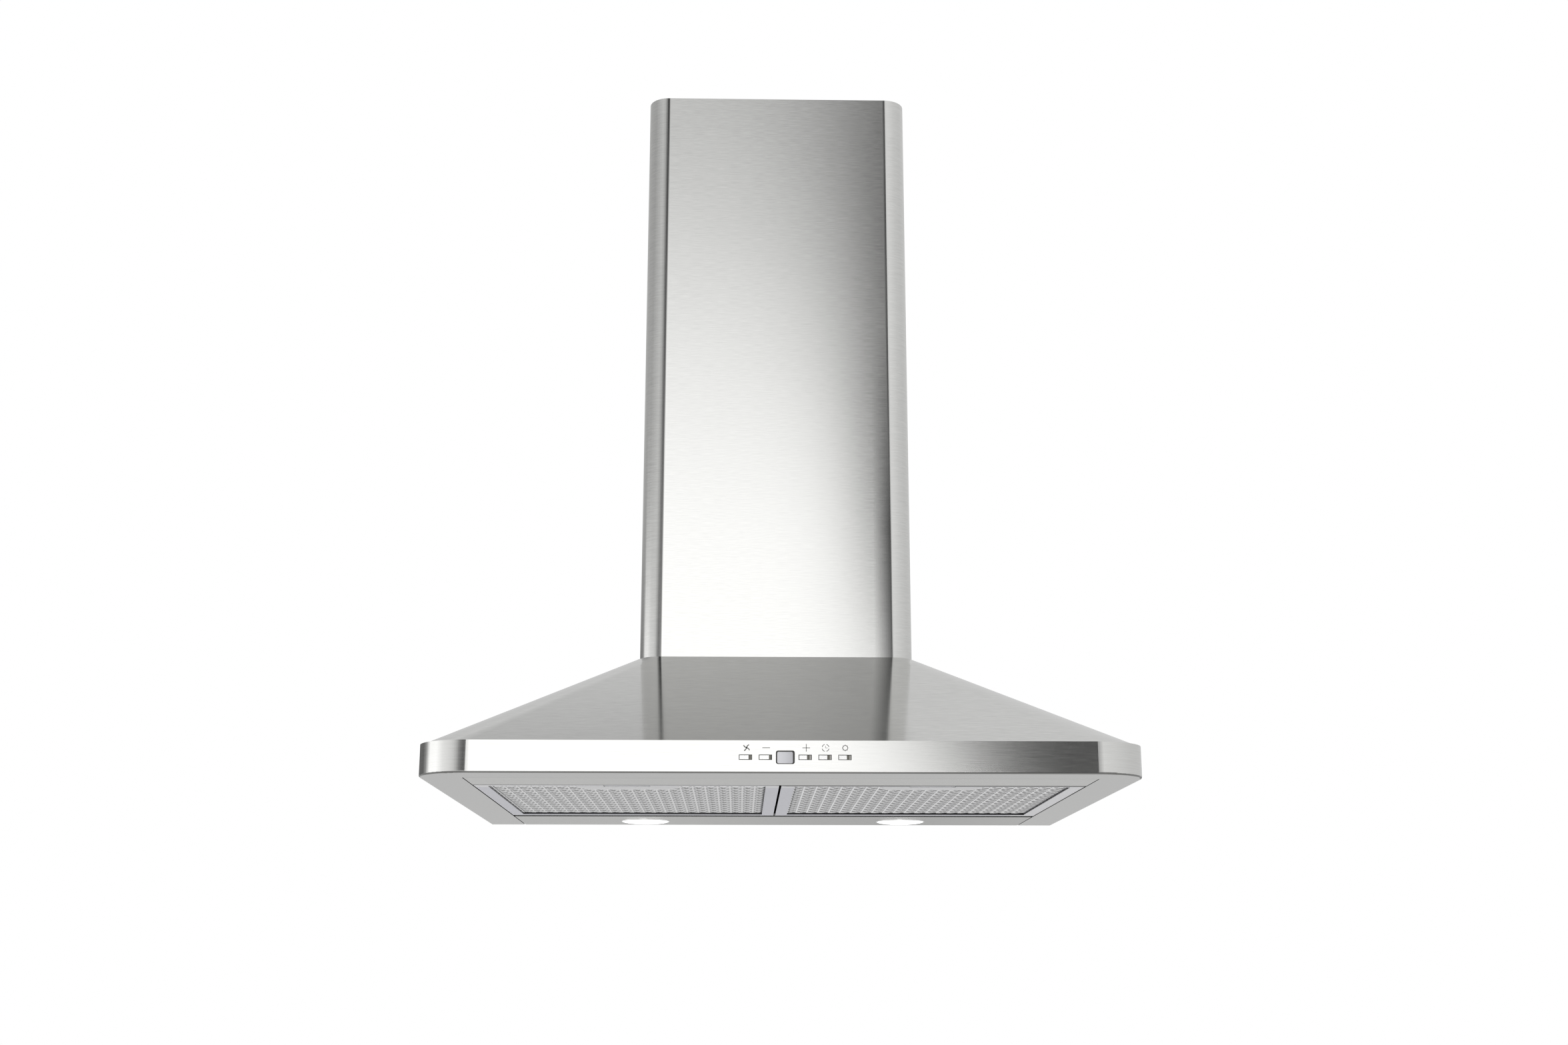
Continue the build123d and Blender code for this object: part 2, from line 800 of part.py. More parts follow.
def stem_bore(x, y0, y1):
    return endwise(stem_radius + running_clearance, x, control_height, y0, y1)


def control_carrier():
    bottom = band_sheet
    top = band_sheet + carrier_height
    carrier = block(
        carrier_left, carrier_right, front_y + band_sheet, board_front, bottom, top
    )
    fold_edge = carrier.edges().filter_by(Axis.X).group_by(Axis.Y)[0].sort_by(Axis.Z)[0]
    carrier = chamfer(fold_edge, bend_radius)
    carrier -= block(
        carrier_left + carrier_wall, carrier_right - carrier_wall,
        front_y, carrier_plate_front,
        bottom + carrier_wall, top - carrier_wall,
    )
    carrier -= block(
        carrier_left + carrier_wall, carrier_right - carrier_wall,
        carrier_plate_rear, board_front + overrun,
        bottom + carrier_wall, top - carrier_wall,
    )
    for x in button_places.values():
        carrier -= stem_bore(x, carrier_plate_front - overrun, carrier_plate_rear + overrun)
    half_width = display_width / 2 + display_module_margin + sheet_gap
    half_height = display_height / 2 + display_module_margin + sheet_gap
    return carrier - block(
        display_x - half_width, display_x + half_width,
        carrier_plate_front - overrun, carrier_plate_rear + overrun,
        control_height - half_height, control_height + half_height,
    )


def control_board():
    return block(
        carrier_left, carrier_right,
        board_front, board_front + board_thickness,
        band_sheet, band_sheet + carrier_height,
    )


def button_switches():
    """One push switch behind each button, hollow where the stem goes in."""
    half = switch_size / 2
    bore_end = stem_end() + button_travel + switch_stroke_spare
    switches = []
    for x in button_places.values():
        body = block(
            x - half, x + half,
            board_front - switch_depth, board_front,
            control_height - half, control_height + half,
        )
        body -= stem_bore(x, board_front - switch_depth - overrun, bore_end)
        switches.append(body.solid())
    return Compound(switches)


def display_window():
    front = front_y + display_recess
    rear = front_y + band_sheet + display_lens_depth
    window = display_block(display_gap, front, rear)
    flange_front = front_y + band_sheet
    half_width = display_width / 2 + display_module_margin
    half_height = display_height / 2 + display_module_margin
    return window + block(
        display_x - half_width, display_x + half_width,
        flange_front, rear,
        control_height - half_height, control_height + half_height,
    )


def display_module():
    half_width = display_width / 2 + display_module_margin
    half_height = display_height / 2 + display_module_margin
    return block(
        display_x - half_width, display_x + half_width,
        front_y + band_sheet + display_lens_depth, board_front,
        control_height - half_height, control_height + half_height,
    )


# ---- Blower ----
def blower_chassis():
    half = chassis_width / 2
    chassis = block(-half, half, chassis_front, chassis_rear, canopy_height, chassis_top)
    chassis -= block(
        -chassis_inner_half, chassis_inner_half,
        chassis_front + chassis_sheet, chassis_rear - chassis_sheet,
        canopy_height + chassis_sheet, chassis_top - chassis_sheet,
    )
    chassis -= block(
        -air_half_width, air_half_width,
        chassis_front + chassis_sheet + chassis_flange, chassis_rear - chassis_sheet - chassis_flange,
        canopy_height - overrun, canopy_height + overrun,
    )
    chassis -= upright(
        collar_radius - collar_wall, 0, collar_y, chassis_top - overrun, chassis_top + overrun
    )
    chassis -= upright(gland_thread_radius, gland_x, gland_y, chassis_top - overrun, chassis_top + overrun)
    for x, y in chassis_screw_places:
        chassis -= screw_hole(x, y, canopy_height)
    for x, y in collar_screw_places:
        chassis -= screw_hole(x, y, chassis_top)
    return chassis


def scroll_profile(grow, top_spare=0.0):
    """Side view of the scroll: round about the shaft, straight up into the outlet."""
    round_part = Pos(shaft_y, shaft_height) * Circle(scroll_radius + grow)
    top = chassis_top - chassis_sheet + top_spare
    return round_part + side_profile(chute_front - grow, chute_rear + grow, shaft_height, top)


def scroll_side(x0, x1, lip_x0, lip_x1):
    """Side plate of the scroll with its round, lipped inlet."""
    plate = swept_across(scroll_profile(scroll_wall), x0, x1)
    plate += crosswise(inlet_radius + inlet_lip, lip_x0, lip_x1, shaft_y, shaft_height)
    return plate - crosswise(inlet_radius, x0 - overrun * 2, x1 + overrun * 2, shaft_y, shaft_height)


def scroll_body():
    ring = scroll_profile(scroll_wall) - scroll_profile(0, overrun)
    wrapper = swept_across(ring, -scroll_half, scroll_half)
    side = scroll_side(
        -scroll_outer_half, -scroll_half, -scroll_half, inlet_lip_depth - scroll_half
    )
    return wrapper + side


def scroll_cover():
    cover = scroll_side(scroll_half, scroll_outer_half, scroll_half - inlet_lip_depth, scroll_half)
    for angle in bracket_angles:
        cover -= bracket_screw_hole(angle)
    return cover


def bracket_screw_hole(angle):
    y = shaft_y + bracket_screw_circle * cos(radians(angle))
    z = shaft_height + bracket_screw_circle * sin(radians(angle))
    radius = screw_radius + screw_clearance
    return crosswise(radius, scroll_half - overrun, scroll_outer_half + overrun, y, z)


def bracket_screws():
    group = []
    for angle in bracket_angles:
        y = shaft_y + bracket_screw_circle * cos(radians(angle))
        z = shaft_height + bracket_screw_circle * sin(radians(angle))
        seat = scroll_outer_half + bracket_foot
        placed = Pos(seat, y, z) * Rot(0, quarter_turn, 0) * screw(bracket_foot + scroll_wall)
        group.append(placed)
    return Compound([piece.solid() for piece in group])


def motor_bracket():
    """Disc on the end of the motor, with arms out to the side of the scroll."""
    outer = scroll_outer_half + bracket_foot
    bracket = crosswise(bracket_disc_radius, motor_end, motor_end + bracket_disc, shaft_y, shaft_height)
    for angle in bracket_angles:
        post = block(
            motor_end, outer,
            -bracket_post_width / 2, bracket_post_width / 2,
            bracket_post_inner, bracket_post_outer,
        )
        foot = block(
            scroll_outer_half, outer,
            -bracket_post_width / 2, bracket_post_width / 2,
            bracket_post_inner, bracket_foot_radius,
        )
        arm = Rot(angle - quarter_turn, 0, 0) * (post + foot)
        bracket += Pos(0, shaft_y, shaft_height) * arm
    for angle in bracket_angles:
        bracket -= bracket_screw_hole(angle)
    return bracket - crosswise(
        bearing_radius, motor_end - overrun, motor_end + overrun, shaft_y, shaft_height
    )


def fan_motor():
    """Motor shell with a smaller step at each end and a seat for each bearing."""
    step = motor_shell_step
    shell = crosswise(motor_radius - step, motor_start, motor_end, shaft_y, shaft_height)
    shell += crosswise(motor_radius, motor_start + step, motor_end - step, shaft_y, shaft_height)
    shell -= crosswise(
        shaft_radius + 2 * sheet_gap, motor_start - overrun, motor_end + overrun, shaft_y, shaft_height
    )
    for x0, x1 in bearing_spans():
        shell -= crosswise(bearing_radius, x0, x1, shaft_y, shaft_height)
    return shell


def bearing_spans():
    return [(motor_start, motor_start + bearing_length), (motor_end - bearing_length, motor_end)]


def motor_bearings():
    pair = []
    for x0, x1 in bearing_spans():
        bush = crosswise(bearing_radius, x0, x1, shaft_y, shaft_height)
        bush -= crosswise(
            shaft_radius + running_clearance, x0 - overrun, x1 + overrun, shaft_y, shaft_height
        )
        pair.append(bush.solid())
    return Compound(pair)


def motor_shaft():
    hub_start = impeller_disc / 2 - hub_length
    return crosswise(shaft_radius, hub_start, motor_end - rest_gap, shaft_y, shaft_height)


def blade_cage(side):
    """Half of the wheel: slanted blades that stand on the disc and carry a ring at their far end."""
    blade_length = (impeller_radius - impeller_inner_radius) / cos(radians(blade_angle)) + overrun
    middle = (impeller_radius + impeller_inner_radius) / 2
    blades = Sketch()
    for n in range(blade_count):
        turn = Rot(0, 0, n * 360 / blade_count)
        blades += turn * Pos(middle, 0) * Rot(0, 0, blade_angle) * Rectangle(blade_length, blade_thickness)
    ring = Circle(impeller_radius) - Circle(impeller_inner_radius)
    blades &= ring
    place = Pos(shaft_y, shaft_height)
    near = side * impeller_disc / 2
    far = side * impeller_width / 2
    ring_start = far - side * impeller_ring
    cage = swept_across(place * blades, min(near, far), max(near, far))
    return cage + swept_across(place * ring, min(ring_start, far), max(ring_start, far))


def impeller():
    """Double-inlet fan wheel: a middle disc with its hub, and a blade cage on each side."""
    place = Pos(shaft_y, shaft_height)
    disc = swept_across(place * Circle(impeller_radius), -impeller_disc / 2, impeller_disc / 2)
    disc += swept_across(place * Circle(hub_radius), impeller_disc / 2 - hub_length, impeller_disc / 2)
    disc -= crosswise(shaft_radius, -hub_length, hub_length, shaft_y, shaft_height)
    return Compound([disc.solid(), blade_cage(-1).solid(), blade_cage(1).solid()])


# ---- Outlet collar and flaps ----
def outlet_collar():
    flange_top = chassis_top + collar_flange
    bore = collar_radius - collar_wall
    collar = upright(collar_flange_radius, 0, collar_y, chassis_top, flange_top)
    collar += upright(collar_radius, 0, collar_y, chassis_top, chassis_top + collar_height)
    collar -= upright(bore, 0, collar_y, chassis_top - overrun, chassis_top + collar_height + overrun)
    stop_top = pin_z - flap_thickness / 2 - rest_gap
    stop = upright(bore, 0, collar_y, stop_top - stop_height, stop_top)
    stop -= upright(bore - stop_width, 0, collar_y, stop_top - overrun, stop_top + overrun)
    clear = knuckle_radius + 2 * rest_gap
    stop -= block(-bore, bore, collar_y - clear, collar_y + clear, stop_top - overrun, stop_top + overrun)
    collar += stop
    for x, y in collar_screw_places:
        collar -= screw_hole(x, y, flange_top)
    return collar - crosswise(pin_radius, -collar_radius, collar_radius, collar_y, pin_z)


def damper_pin():
    reach = collar_radius - sheet_gap
    return crosswise(pin_radius, -reach, reach, collar_y, pin_z)


def damper_flap(side):
    """Half-round flap; side is -1 at the front and 1 at the back."""
    half_plate = flap_thickness / 2
    plate = upright(flap_radius, 0, collar_y, pin_z - half_plate, pin_z + half_plate)
    far = collar_y + side * flap_radius
    near = collar_y + side * flap_hinge_gap
    plate &= block(
        -flap_radius, flap_radius, min(near, far), max(near, far), pin_z - half_plate, pin_z + half_plate
    )
    first = -(knuckle_pairs - 0.5) * knuckle_pitch
    for n in range(knuckle_pairs):
        middle = first + (2 * n + (side + 1) / 2) * knuckle_pitch
        x0 = middle - knuckle_length / 2
        x1 = middle + knuckle_length / 2
        inner = collar_y + side * pin_radius
        outer = near + side * flap_thickness
        plate += crosswise(knuckle_radius, x0, x1, collar_y, pin_z)
        plate += block(
            x0, x1, min(inner, outer), max(inner, outer), pin_z - half_plate, pin_z + half_plate
        )
    return plate - crosswise(pin_radius + running_clearance, -flap_radius, flap_radius, collar_y, pin_z)


# ---- Electrical pieces ----
def capacitor_x():
    return chassis_inner_half - capacitor_radius - capacitor_clip_wall


def capacitor():
    body = upright(
        capacitor_radius, capacitor_x(), capacitor_place_y,
        capacitor_base, capacitor_base + capacitor_height,
    )
    return fillet(body.edges().group_by(Axis.Z)[-1], flap_thickness)


def capacitor_clip():
    x = capacitor_x()
    base = capacitor_base + capacitor_height / 2
    top = base + capacitor_clip_height
    radius = capacitor_radius + capacitor_clip_wall
    clip = upright(radius, x, capacitor_place_y, base, top)
    clip += block(
        chassis_inner_half - capacitor_clip_wall, chassis_inner_half,
        capacitor_place_y - radius, capacitor_place_y + radius,
        base, top,
    )
    return clip - upright(capacitor_radius, x, capacitor_place_y, base - overrun, top + overrun)


def terminal_box_span(inset):
    """Corners of the terminal box, moved in by the given distance on five sides."""
    rear_x = -chassis_inner_half
    return (
        rear_x + inset, rear_x + terminal_box_depth,
        terminal_box_place_y - terminal_box_width / 2 + inset,
        terminal_box_place_y + terminal_box_width / 2 - inset,
        terminal_box_base + inset, terminal_box_base + terminal_box_height - inset,
    )


def terminal_box():
    return block(*terminal_box_span(0)) - block(*terminal_box_span(terminal_box_wall))


def terminal_box_cover():
    x0, x1, y0, y1, z0, z1 = terminal_box_span(0)
    return fillet(
        block(x1, x1 + terminal_box_wall, y0, y1, z0, z1).edges().group_by(Axis.X)[-1], cover_sheet
    )


def terminal_block():
    depth, width, height = terminal_block_size
    base_x = terminal_box_span(terminal_box_wall)[0]
    middle_z = terminal_box_base + terminal_box_height / 2
    return block(
        base_x, base_x + depth,
        terminal_box_place_y - width / 2, terminal_box_place_y + width / 2,
        middle_z - height / 2, middle_z + height / 2,
    )


def hexagon_prism(radius, x, y, z0, z1):
    return Pos(x, y, z0) * extrude(RegularPolygon(radius, 6), z1 - z0)


def cable_gland():
    """Gland for the mains lead: hexagon body above the chassis, thread through it."""
    top = chassis_top + gland_height
    shoulder = chassis_top + gland_height / 2
    gland = hexagon_prism(gland_radius + cover_sheet, gland_x, gland_y, chassis_top, shoulder)
    gland += upright(gland_radius - cover_sheet, gland_x, gland_y, shoulder, top)
    gland += upright(gland_thread_radius, gland_x, gland_y, chassis_top - gland_thread_length, chassis_top)
    bottom = chassis_top - gland_thread_length
    return gland - upright(gland_bore_radius, gland_x, gland_y, bottom - overrun, top + overrun)


def gland_nut():
    top = chassis_top - chassis_sheet
    nut = hexagon_prism(gland_radius + cover_sheet, gland_x, gland_y, top - gland_nut_height, top)
    return nut - upright(gland_thread_radius, gland_x, gland_y, top - gland_nut_height - 1, top + 1)


# ---- Flue covers ----
def flue_cover(width, depth, corner, rear, z0, z1):
    """Sheet folded round the front and sides, with an edge returned along the wall."""
    cover = extrude(casing_outline(width, depth, corner, rear), z1 - z0)
    hollow = casing_outline(
        width - 2 * cover_sheet, depth - cover_sheet, corner - cover_sheet, rear - cover_sheet
    )
    cover -= extrude(hollow, z1 - z0)
    open_half = width / 2 - flue_return
    cover -= block(-open_half, open_half, rear - overrun, rear + overrun, 0, z1 - z0)
    return Pos(0, 0, z0) * cover


def lower_flue_cover():
    return flue_cover(flue_width, flue_depth, flue_corner_radius, 0, canopy_height, flue_top)


def upper_flue_cover():
    return flue_cover(
        upper_flue_width, flue_depth - upper_flue_inset, flue_corner_radius - upper_flue_inset,
        -upper_flue_inset, upper_flue_bottom, upper_flue_top,
    )


def flue_feet():
    """Angle brackets that stand on the canopy inside the lower cover."""
    feet = []
    top = upper_flue_bottom - rest_gap
    y0 = chassis_middle_y - foot_bracket_length / 2
    y1 = chassis_middle_y + foot_bracket_length / 2
    for side in (-1, 1):
        outer = side * flue_inner_half
        inner = side * foot_bracket_inner
        leg = side * (flue_inner_half - plate_sheet)
        foot = block(min(inner, outer), max(inner, outer), y0, y1, canopy_height, canopy_height + plate_sheet)
        foot += block(min(leg, outer), max(leg, outer), y0, y1, canopy_height, top)
        for x, y in foot_screw_places:
            foot -= screw_hole(x, y, canopy_height + plate_sheet)
        feet.append(foot.solid())
    return Compound(feet)


def upper_flue_bracket():
    """Strip for the wall or ceiling end, stepped out to the sides of the upper cover."""
    z1 = upper_flue_top - bracket_top_gap
    z0 = z1 - bracket_height
    half = bracket_base_width / 2
    ear = upper_flue_width / 2 - cover_sheet - bracket_ear_gap
    wing_rear = -upper_flue_inset - cover_sheet - rest_gap
    wing_front = wing_rear - plate_sheet
    bracket = block(-half, half, -plate_sheet, 0, z0, z1)
    for side in (-1, 1):
        step = side * (half - plate_sheet)
        bracket += block(min(step, side * half), max(step, side * half), wing_front, 0, z0, z1)
        bracket += block(min(step, side * ear), max(step, side * ear), wing_front, wing_rear, z0, z1)
        inner_ear = side * (ear - plate_sheet)
        bracket += block(
            min(inner_ear, side * ear), max(inner_ear, side * ear),
            wing_rear - bracket_ear, wing_rear, z0, z1,
        )
        hole_x = side * bracket_hole_spacing / 2
        bracket -= endwise(bracket_hole_radius, hole_x, (z0 + z1) / 2, -overrun, overrun)
    return bracket


# ---- Screws ----
def screw_group(places, seat):
    return Compound([(Pos(x, y, seat) * screw()).solid() for x, y in places])


def main():
    os.makedirs("parts", exist_ok=True)
    save("canopy_shell", canopy_shell())
    save("rim_band", rim_band())
    save("back_panel", back_panel())
    save("front_strip", front_strip())
    save("lamp_panel", lamp_panel())
    for side, x in filter_places.items():
        save(f"{side}_filter_frame", filter_frame(x))
        save(f"{side}_filter_mesh", filter_mesh(x))
        save(f"{side}_filter_layers", filter_layers(x))
        save(f"{side}_filter_latch", filter_latch(x))
        save(f"{side}_latch_springs", latch_springs(x))
    for side, x in lamp_places.items():
        save(f"{side}_lamp_bezel", lamp_bezel(x))
        save(f"{side}_lamp_lens", lamp_lens(x))
        save(f"{side}_lamp_module", lamp_module(x))
    save("lamp_clips", lamp_clips())
    save("lamp_driver", lamp_driver())
    for name, x in button_places.items():
        save(f"{name}_button", button(x))
    save("control_carrier", control_carrier())
    save("control_board", control_board())
    save("button_switches", button_switches())
    save("display_window", display_window())
    save("display_module", display_module())
    save("blower_chassis", blower_chassis())
    save("scroll_body", scroll_body())
    save("scroll_cover", scroll_cover())
    save("motor_bracket", motor_bracket())
    save("bracket_screws", bracket_screws())
    save("fan_motor", fan_motor())
    save("motor_bearings", motor_bearings())
    save("motor_shaft", motor_shaft())
    save("impeller", impeller())
    save("outlet_collar", outlet_collar())
    save("damper_pin", damper_pin())
    save("front_damper_flap", damper_flap(-1))
    save("rear_damper_flap", damper_flap(1))
    save("collar_screws", screw_group(collar_screw_places, chassis_top + collar_flange))
    save("capacitor", capacitor())
    save("capacitor_clip", capacitor_clip())
    save("terminal_box", terminal_box())
    save("terminal_box_cover", terminal_box_cover())
    save("terminal_block", terminal_block())
    save("cable_gland", cable_gland())
    save("gland_nut", gland_nut())
    save("lower_flue_cover", lower_flue_cover())
    save("flue_feet", flue_feet())
    save("upper_flue_cover", upper_flue_cover())
    save("upper_flue_bracket", upper_flue_bracket())
    save("chassis_screws", screw_group(chassis_screw_places, canopy_height + chassis_sheet))
    save("foot_screws", screw_group(foot_screw_places, canopy_height + plate_sheet))


if __name__ == "__main__":
    main()
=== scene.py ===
import math
import bmesh
import bpy
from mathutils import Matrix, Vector


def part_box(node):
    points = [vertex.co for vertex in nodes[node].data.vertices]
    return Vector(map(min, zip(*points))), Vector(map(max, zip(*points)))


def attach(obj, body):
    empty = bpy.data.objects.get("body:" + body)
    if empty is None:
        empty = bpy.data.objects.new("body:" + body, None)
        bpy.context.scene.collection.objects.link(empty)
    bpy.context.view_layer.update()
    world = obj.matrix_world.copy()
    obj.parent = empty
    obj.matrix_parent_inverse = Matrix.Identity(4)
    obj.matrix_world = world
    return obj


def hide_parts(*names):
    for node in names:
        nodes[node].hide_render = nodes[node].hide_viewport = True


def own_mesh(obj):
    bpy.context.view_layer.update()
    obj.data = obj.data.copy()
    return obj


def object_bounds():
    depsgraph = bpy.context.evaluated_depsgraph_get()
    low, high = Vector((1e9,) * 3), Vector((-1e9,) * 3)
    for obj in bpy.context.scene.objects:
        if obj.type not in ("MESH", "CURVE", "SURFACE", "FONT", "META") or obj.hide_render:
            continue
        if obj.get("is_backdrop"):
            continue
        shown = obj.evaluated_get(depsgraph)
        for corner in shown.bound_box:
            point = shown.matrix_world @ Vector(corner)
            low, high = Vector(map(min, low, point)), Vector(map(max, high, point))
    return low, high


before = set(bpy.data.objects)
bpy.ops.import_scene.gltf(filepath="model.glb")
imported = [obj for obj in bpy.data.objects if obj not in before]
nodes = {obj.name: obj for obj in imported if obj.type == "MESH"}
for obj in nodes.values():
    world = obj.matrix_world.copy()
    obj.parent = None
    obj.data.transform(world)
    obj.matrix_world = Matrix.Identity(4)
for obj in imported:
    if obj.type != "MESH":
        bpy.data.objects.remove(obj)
cad_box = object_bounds()
scene = bpy.context.scene


# ---- Camera: low in front of the hood, looking up at its front and underside ----
# It stands 1.5 m in front of the band, a little left of the middle and under the rim.
camera_place = (-0.0349, -1.9922, -0.2392)
camera_yaw = 0.0239
camera_pitch = 0.2451
lens = bpy.data.cameras.new("camera")
lens.lens = 42.27
lens.sensor_width = 36.0
camera = bpy.data.objects.new("camera", lens)
scene.collection.objects.link(camera)
camera.location = camera_place
looks = Vector((
    math.sin(camera_yaw) * math.cos(camera_pitch),
    math.cos(camera_yaw) * math.cos(camera_pitch),
    math.sin(camera_pitch),
))
camera.rotation_mode = "QUATERNION"
camera.rotation_quaternion = looks.to_track_quat("-Z", "Y")
scene.camera = camera
scene.view_settings.view_transform = "Standard"


# ---- Studio: white surround, with the soft boxes and dark gaps that polished sheet mirrors ----
# Azimuth 0 faces the camera side, and minus is the hood's left. The graphs go by angles in degrees,
# and their results, mostly brightnesses, stay within 10. A dark gap leans over the camera's right,
# and softens as it rises.
brightest = 10.0
gap_end, right_box = 13.2, 14.4


def node(tree, kind, settings=None, **inputs):
    """A shader node; an input is given by its name, or by its number as i0, i1 and so on."""
    made = tree.nodes.new(kind)
    for key, value in (settings or {}).items():
        setattr(made, key, value)
    for key, value in inputs.items():
        socket = made.inputs[int(key[1:])] if key[0] == "i" and key[1:].isdigit() else made.inputs[key]
        if isinstance(value, bpy.types.NodeSocket):
            tree.links.new(value, socket)
        else:
            socket.default_value = value
    return made


def ramp(tree, factor, stops):
    """Colours, or greys given as one number, at places from 0 to 1."""
    made = node(tree, "ShaderNodeValToRGB", i0=factor)
    bands = made.color_ramp
    for place, tone in stops[2:]:
        bands.elements.new(place)
    for stop, (place, tone) in zip(bands.elements, sorted(stops)):
        stop.position = place
    for stop, (place, tone) in zip(bands.elements, sorted(stops)):
        stop.color = (*tone, 1) if isinstance(tone, tuple) else (tone, tone, tone, 1)
    return made.outputs["Color"]


def maths(tree, operation, a, b=0.0):
    return node(tree, "ShaderNodeMath", {"operation": operation}, i0=a, i1=b).outputs[0]


def times(tree, a, b):
    return maths(tree, "MULTIPLY", a, b)


def spread(tree, value, low, high, to_low=0.0, to_high=1.0):
    return node(tree, "ShaderNodeMapRange", i0=value, i1=low, i2=high, i3=to_low, i4=to_high).outputs[0]


def blended(tree, share, a, b):
    return node(tree, "ShaderNodeMix", {"data_type": "RGBA"}, i0=share, i6=a, i7=b).outputs[2]


def graph(tree, value, *points):
    """A broken line through (value, result) points, the results all from 0 to brightest."""
    low, high = points[0][0], points[-1][0]
    stops = [((place - low) / (high - low), result / brightest) for place, result in points]
    return times(tree, ramp(tree, spread(tree, value, low, high), stops), brightest)


studio = bpy.data.worlds.new("studio")
scene.world = studio
studio.use_nodes = True
tree = studio.node_tree
tree.nodes.clear()
towards = node(tree, "ShaderNodeSeparateXYZ", i0=node(tree, "ShaderNodeTexCoord").outputs["Generated"])
azimuth = maths(tree, "ARCTAN2", towards.outputs["X"], times(tree, towards.outputs["Y"], -1.0))
azimuth = maths(tree, "DEGREES", azimuth)
elevation = maths(tree, "DEGREES", maths(tree, "ARCSINE", towards.outputs["Z"]))
eye_level = graph(
    tree, azimuth,
    (-180, 4.6), (-170, 4.2), (-160, 1.0), (-125, 0.9), (-112, 2.4), (-98, 9.4), (-78, 9.9),
    (-60, 7.2), (-45, 6.2), (-35, 5.0), (-28, 3.4), (-22, 1.7), (-17.5, 0.7), (-15, 1.0), (-13, 9.5),
    (gap_end, 9.5), (right_box, 5.6), (50, 5.2), (95, 4.5), (150, 4.2), (180, 4.6),
)
overhead = graph(
    tree, azimuth,
    (-180, 4.6), (-139, 3.2), (-83, 2.7), (-36, 4.2), (-21, 3.2), (-14, 0.7), (-8, 0.7), (-6, 3.9),
    (-2, 3.8), (1, 3.6), (gap_end, 3.2), (right_box, 5.6), (25, 5.5), (60, 4.7), (95, 4.4), (180, 4.6),
)
ceiling = graph(
    tree, azimuth,
    (-180, 4.6), (-24, 4.6), (-16, 1.0), (-8, 1.0), (-6, 4.9), (2, 4.8), (6, 3.9),
    (gap_end, 3.7), (right_box, 5.0), (180, 4.6),
)
below = graph(
    tree, azimuth,
    (-180, 3.5), (-120, 4.4), (-60, 5.2), (-25, 5.2), (-14, 9.6),
    (gap_end, 9.6), (right_box, 5.4), (60, 5.0), (120, 4.3), (180, 3.5),
)
ahead = graph(tree, azimuth, (-180, 0), (-14, 0), (-12, 10), (12, 10), (14, 0), (180, 0))
side_rise = spread(tree, elevation, 7.5, 14.5)
front_rise = spread(tree, elevation, 14, 28)
rise = blended(tree, times(tree, ahead, 1 / brightest), side_rise, front_rise)
sky = blended(tree, rise, eye_level, overhead)
sky = blended(tree, spread(tree, elevation, -1, -6), sky, below)
gap_edge = graph(
    tree, elevation,
    (-4, 7.8), (6.5, 7.5), (8.4, 5.7), (10.1, 4.7), (12.9, 3.85), (17.9, 3.65), (22.9, 3.4),
    (26.5, 2.7), (35, 1.4),
)
gap_crispness = graph(
    tree, elevation,
    (-4, 1.1), (6.5, 1.1), (10.0, 2.4), (12.9, 2.4), (17.9, 1.1), (22.9, 0.6), (27, 0.45), (60, 0.3),
)
into_gap = times(tree, maths(tree, "SUBTRACT", azimuth, gap_edge), gap_crispness)
gap = graph(
    tree, into_gap,
    (-5, 10), (-2.6, 9.6), (-1.5, 9.0), (-0.6, 7.4), (0, 5.6), (0.4, 3.8), (0.8, 1.8), (1.2, 0.8),
    (2.2, 0.5), (4, 0.4),
)
gap = maths(tree, "MAXIMUM", gap, spread(tree, azimuth, gap_end, right_box, 0.0, brightest))
sky = blended(tree, times(tree, gap, 1 / brightest), (0, 0, 0, 1), sky)
sky = blended(tree, spread(tree, elevation, 27, 36), sky, ceiling)
seen = node(tree, "ShaderNodeBackground", i0=(1, 1, 1, 1), i1=1.0)
mirrored = node(tree, "ShaderNodeBackground", i0=sky, i1=0.15)
camera_ray = node(tree, "ShaderNodeLightPath").outputs["Is Camera Ray"]
surround = node(tree, "ShaderNodeMixShader", i0=camera_ray, i1=mirrored.outputs[0], i2=seen.outputs[0])
node(tree, "ShaderNodeOutputWorld", i0=surround.outputs[0])


# ---- Floor: a plain pale round of paper, far below the hood ----
# It lies low enough for a view from under the hood, and fades out towards its rim, so that it has
# no hard edge against the white surround.
mm = 0.001
floor_height = -2600 * mm
floor_radius = 4200 * mm
floor_middle = -250 * mm
floor_sides = 96
fade_start, fade_end = 0.35 * floor_radius, 0.98 * floor_radius


def make_mesh(name, points, faces, smooth=False):
    mesh = bpy.data.meshes.new(name)
    mesh.from_pydata(points, [], faces)
    mesh.update()
    mesh.polygons.foreach_set("use_smooth", [smooth] * len(mesh.polygons))
    made = bpy.data.objects.new(name, mesh)
    scene.collection.objects.link(made)
    return made


def finish(name):
    """An empty material with its principled shader, ready for its own nodes."""
    made = bpy.data.materials.new(name)
    made.use_nodes = True
    return made, made.node_tree, made.node_tree.nodes["Principled BSDF"]


def link(tree, source, shader, socket):
    tree.links.new(source, shader.inputs[socket])


def coordinates(tree, scale=(1, 1, 1)):
    place = node(tree, "ShaderNodeTexCoord").outputs["Object"]
    return node(tree, "ShaderNodeVectorMath", {"operation": "MULTIPLY"}, i0=place, i1=scale).outputs[0]


def noise(tree, vector, scale=1.0, detail=3.0, roughness=0.5):
    made = node(tree, "ShaderNodeTexNoise", Vector=vector, Scale=scale, Detail=detail, Roughness=roughness)
    return made.outputs["Fac"]


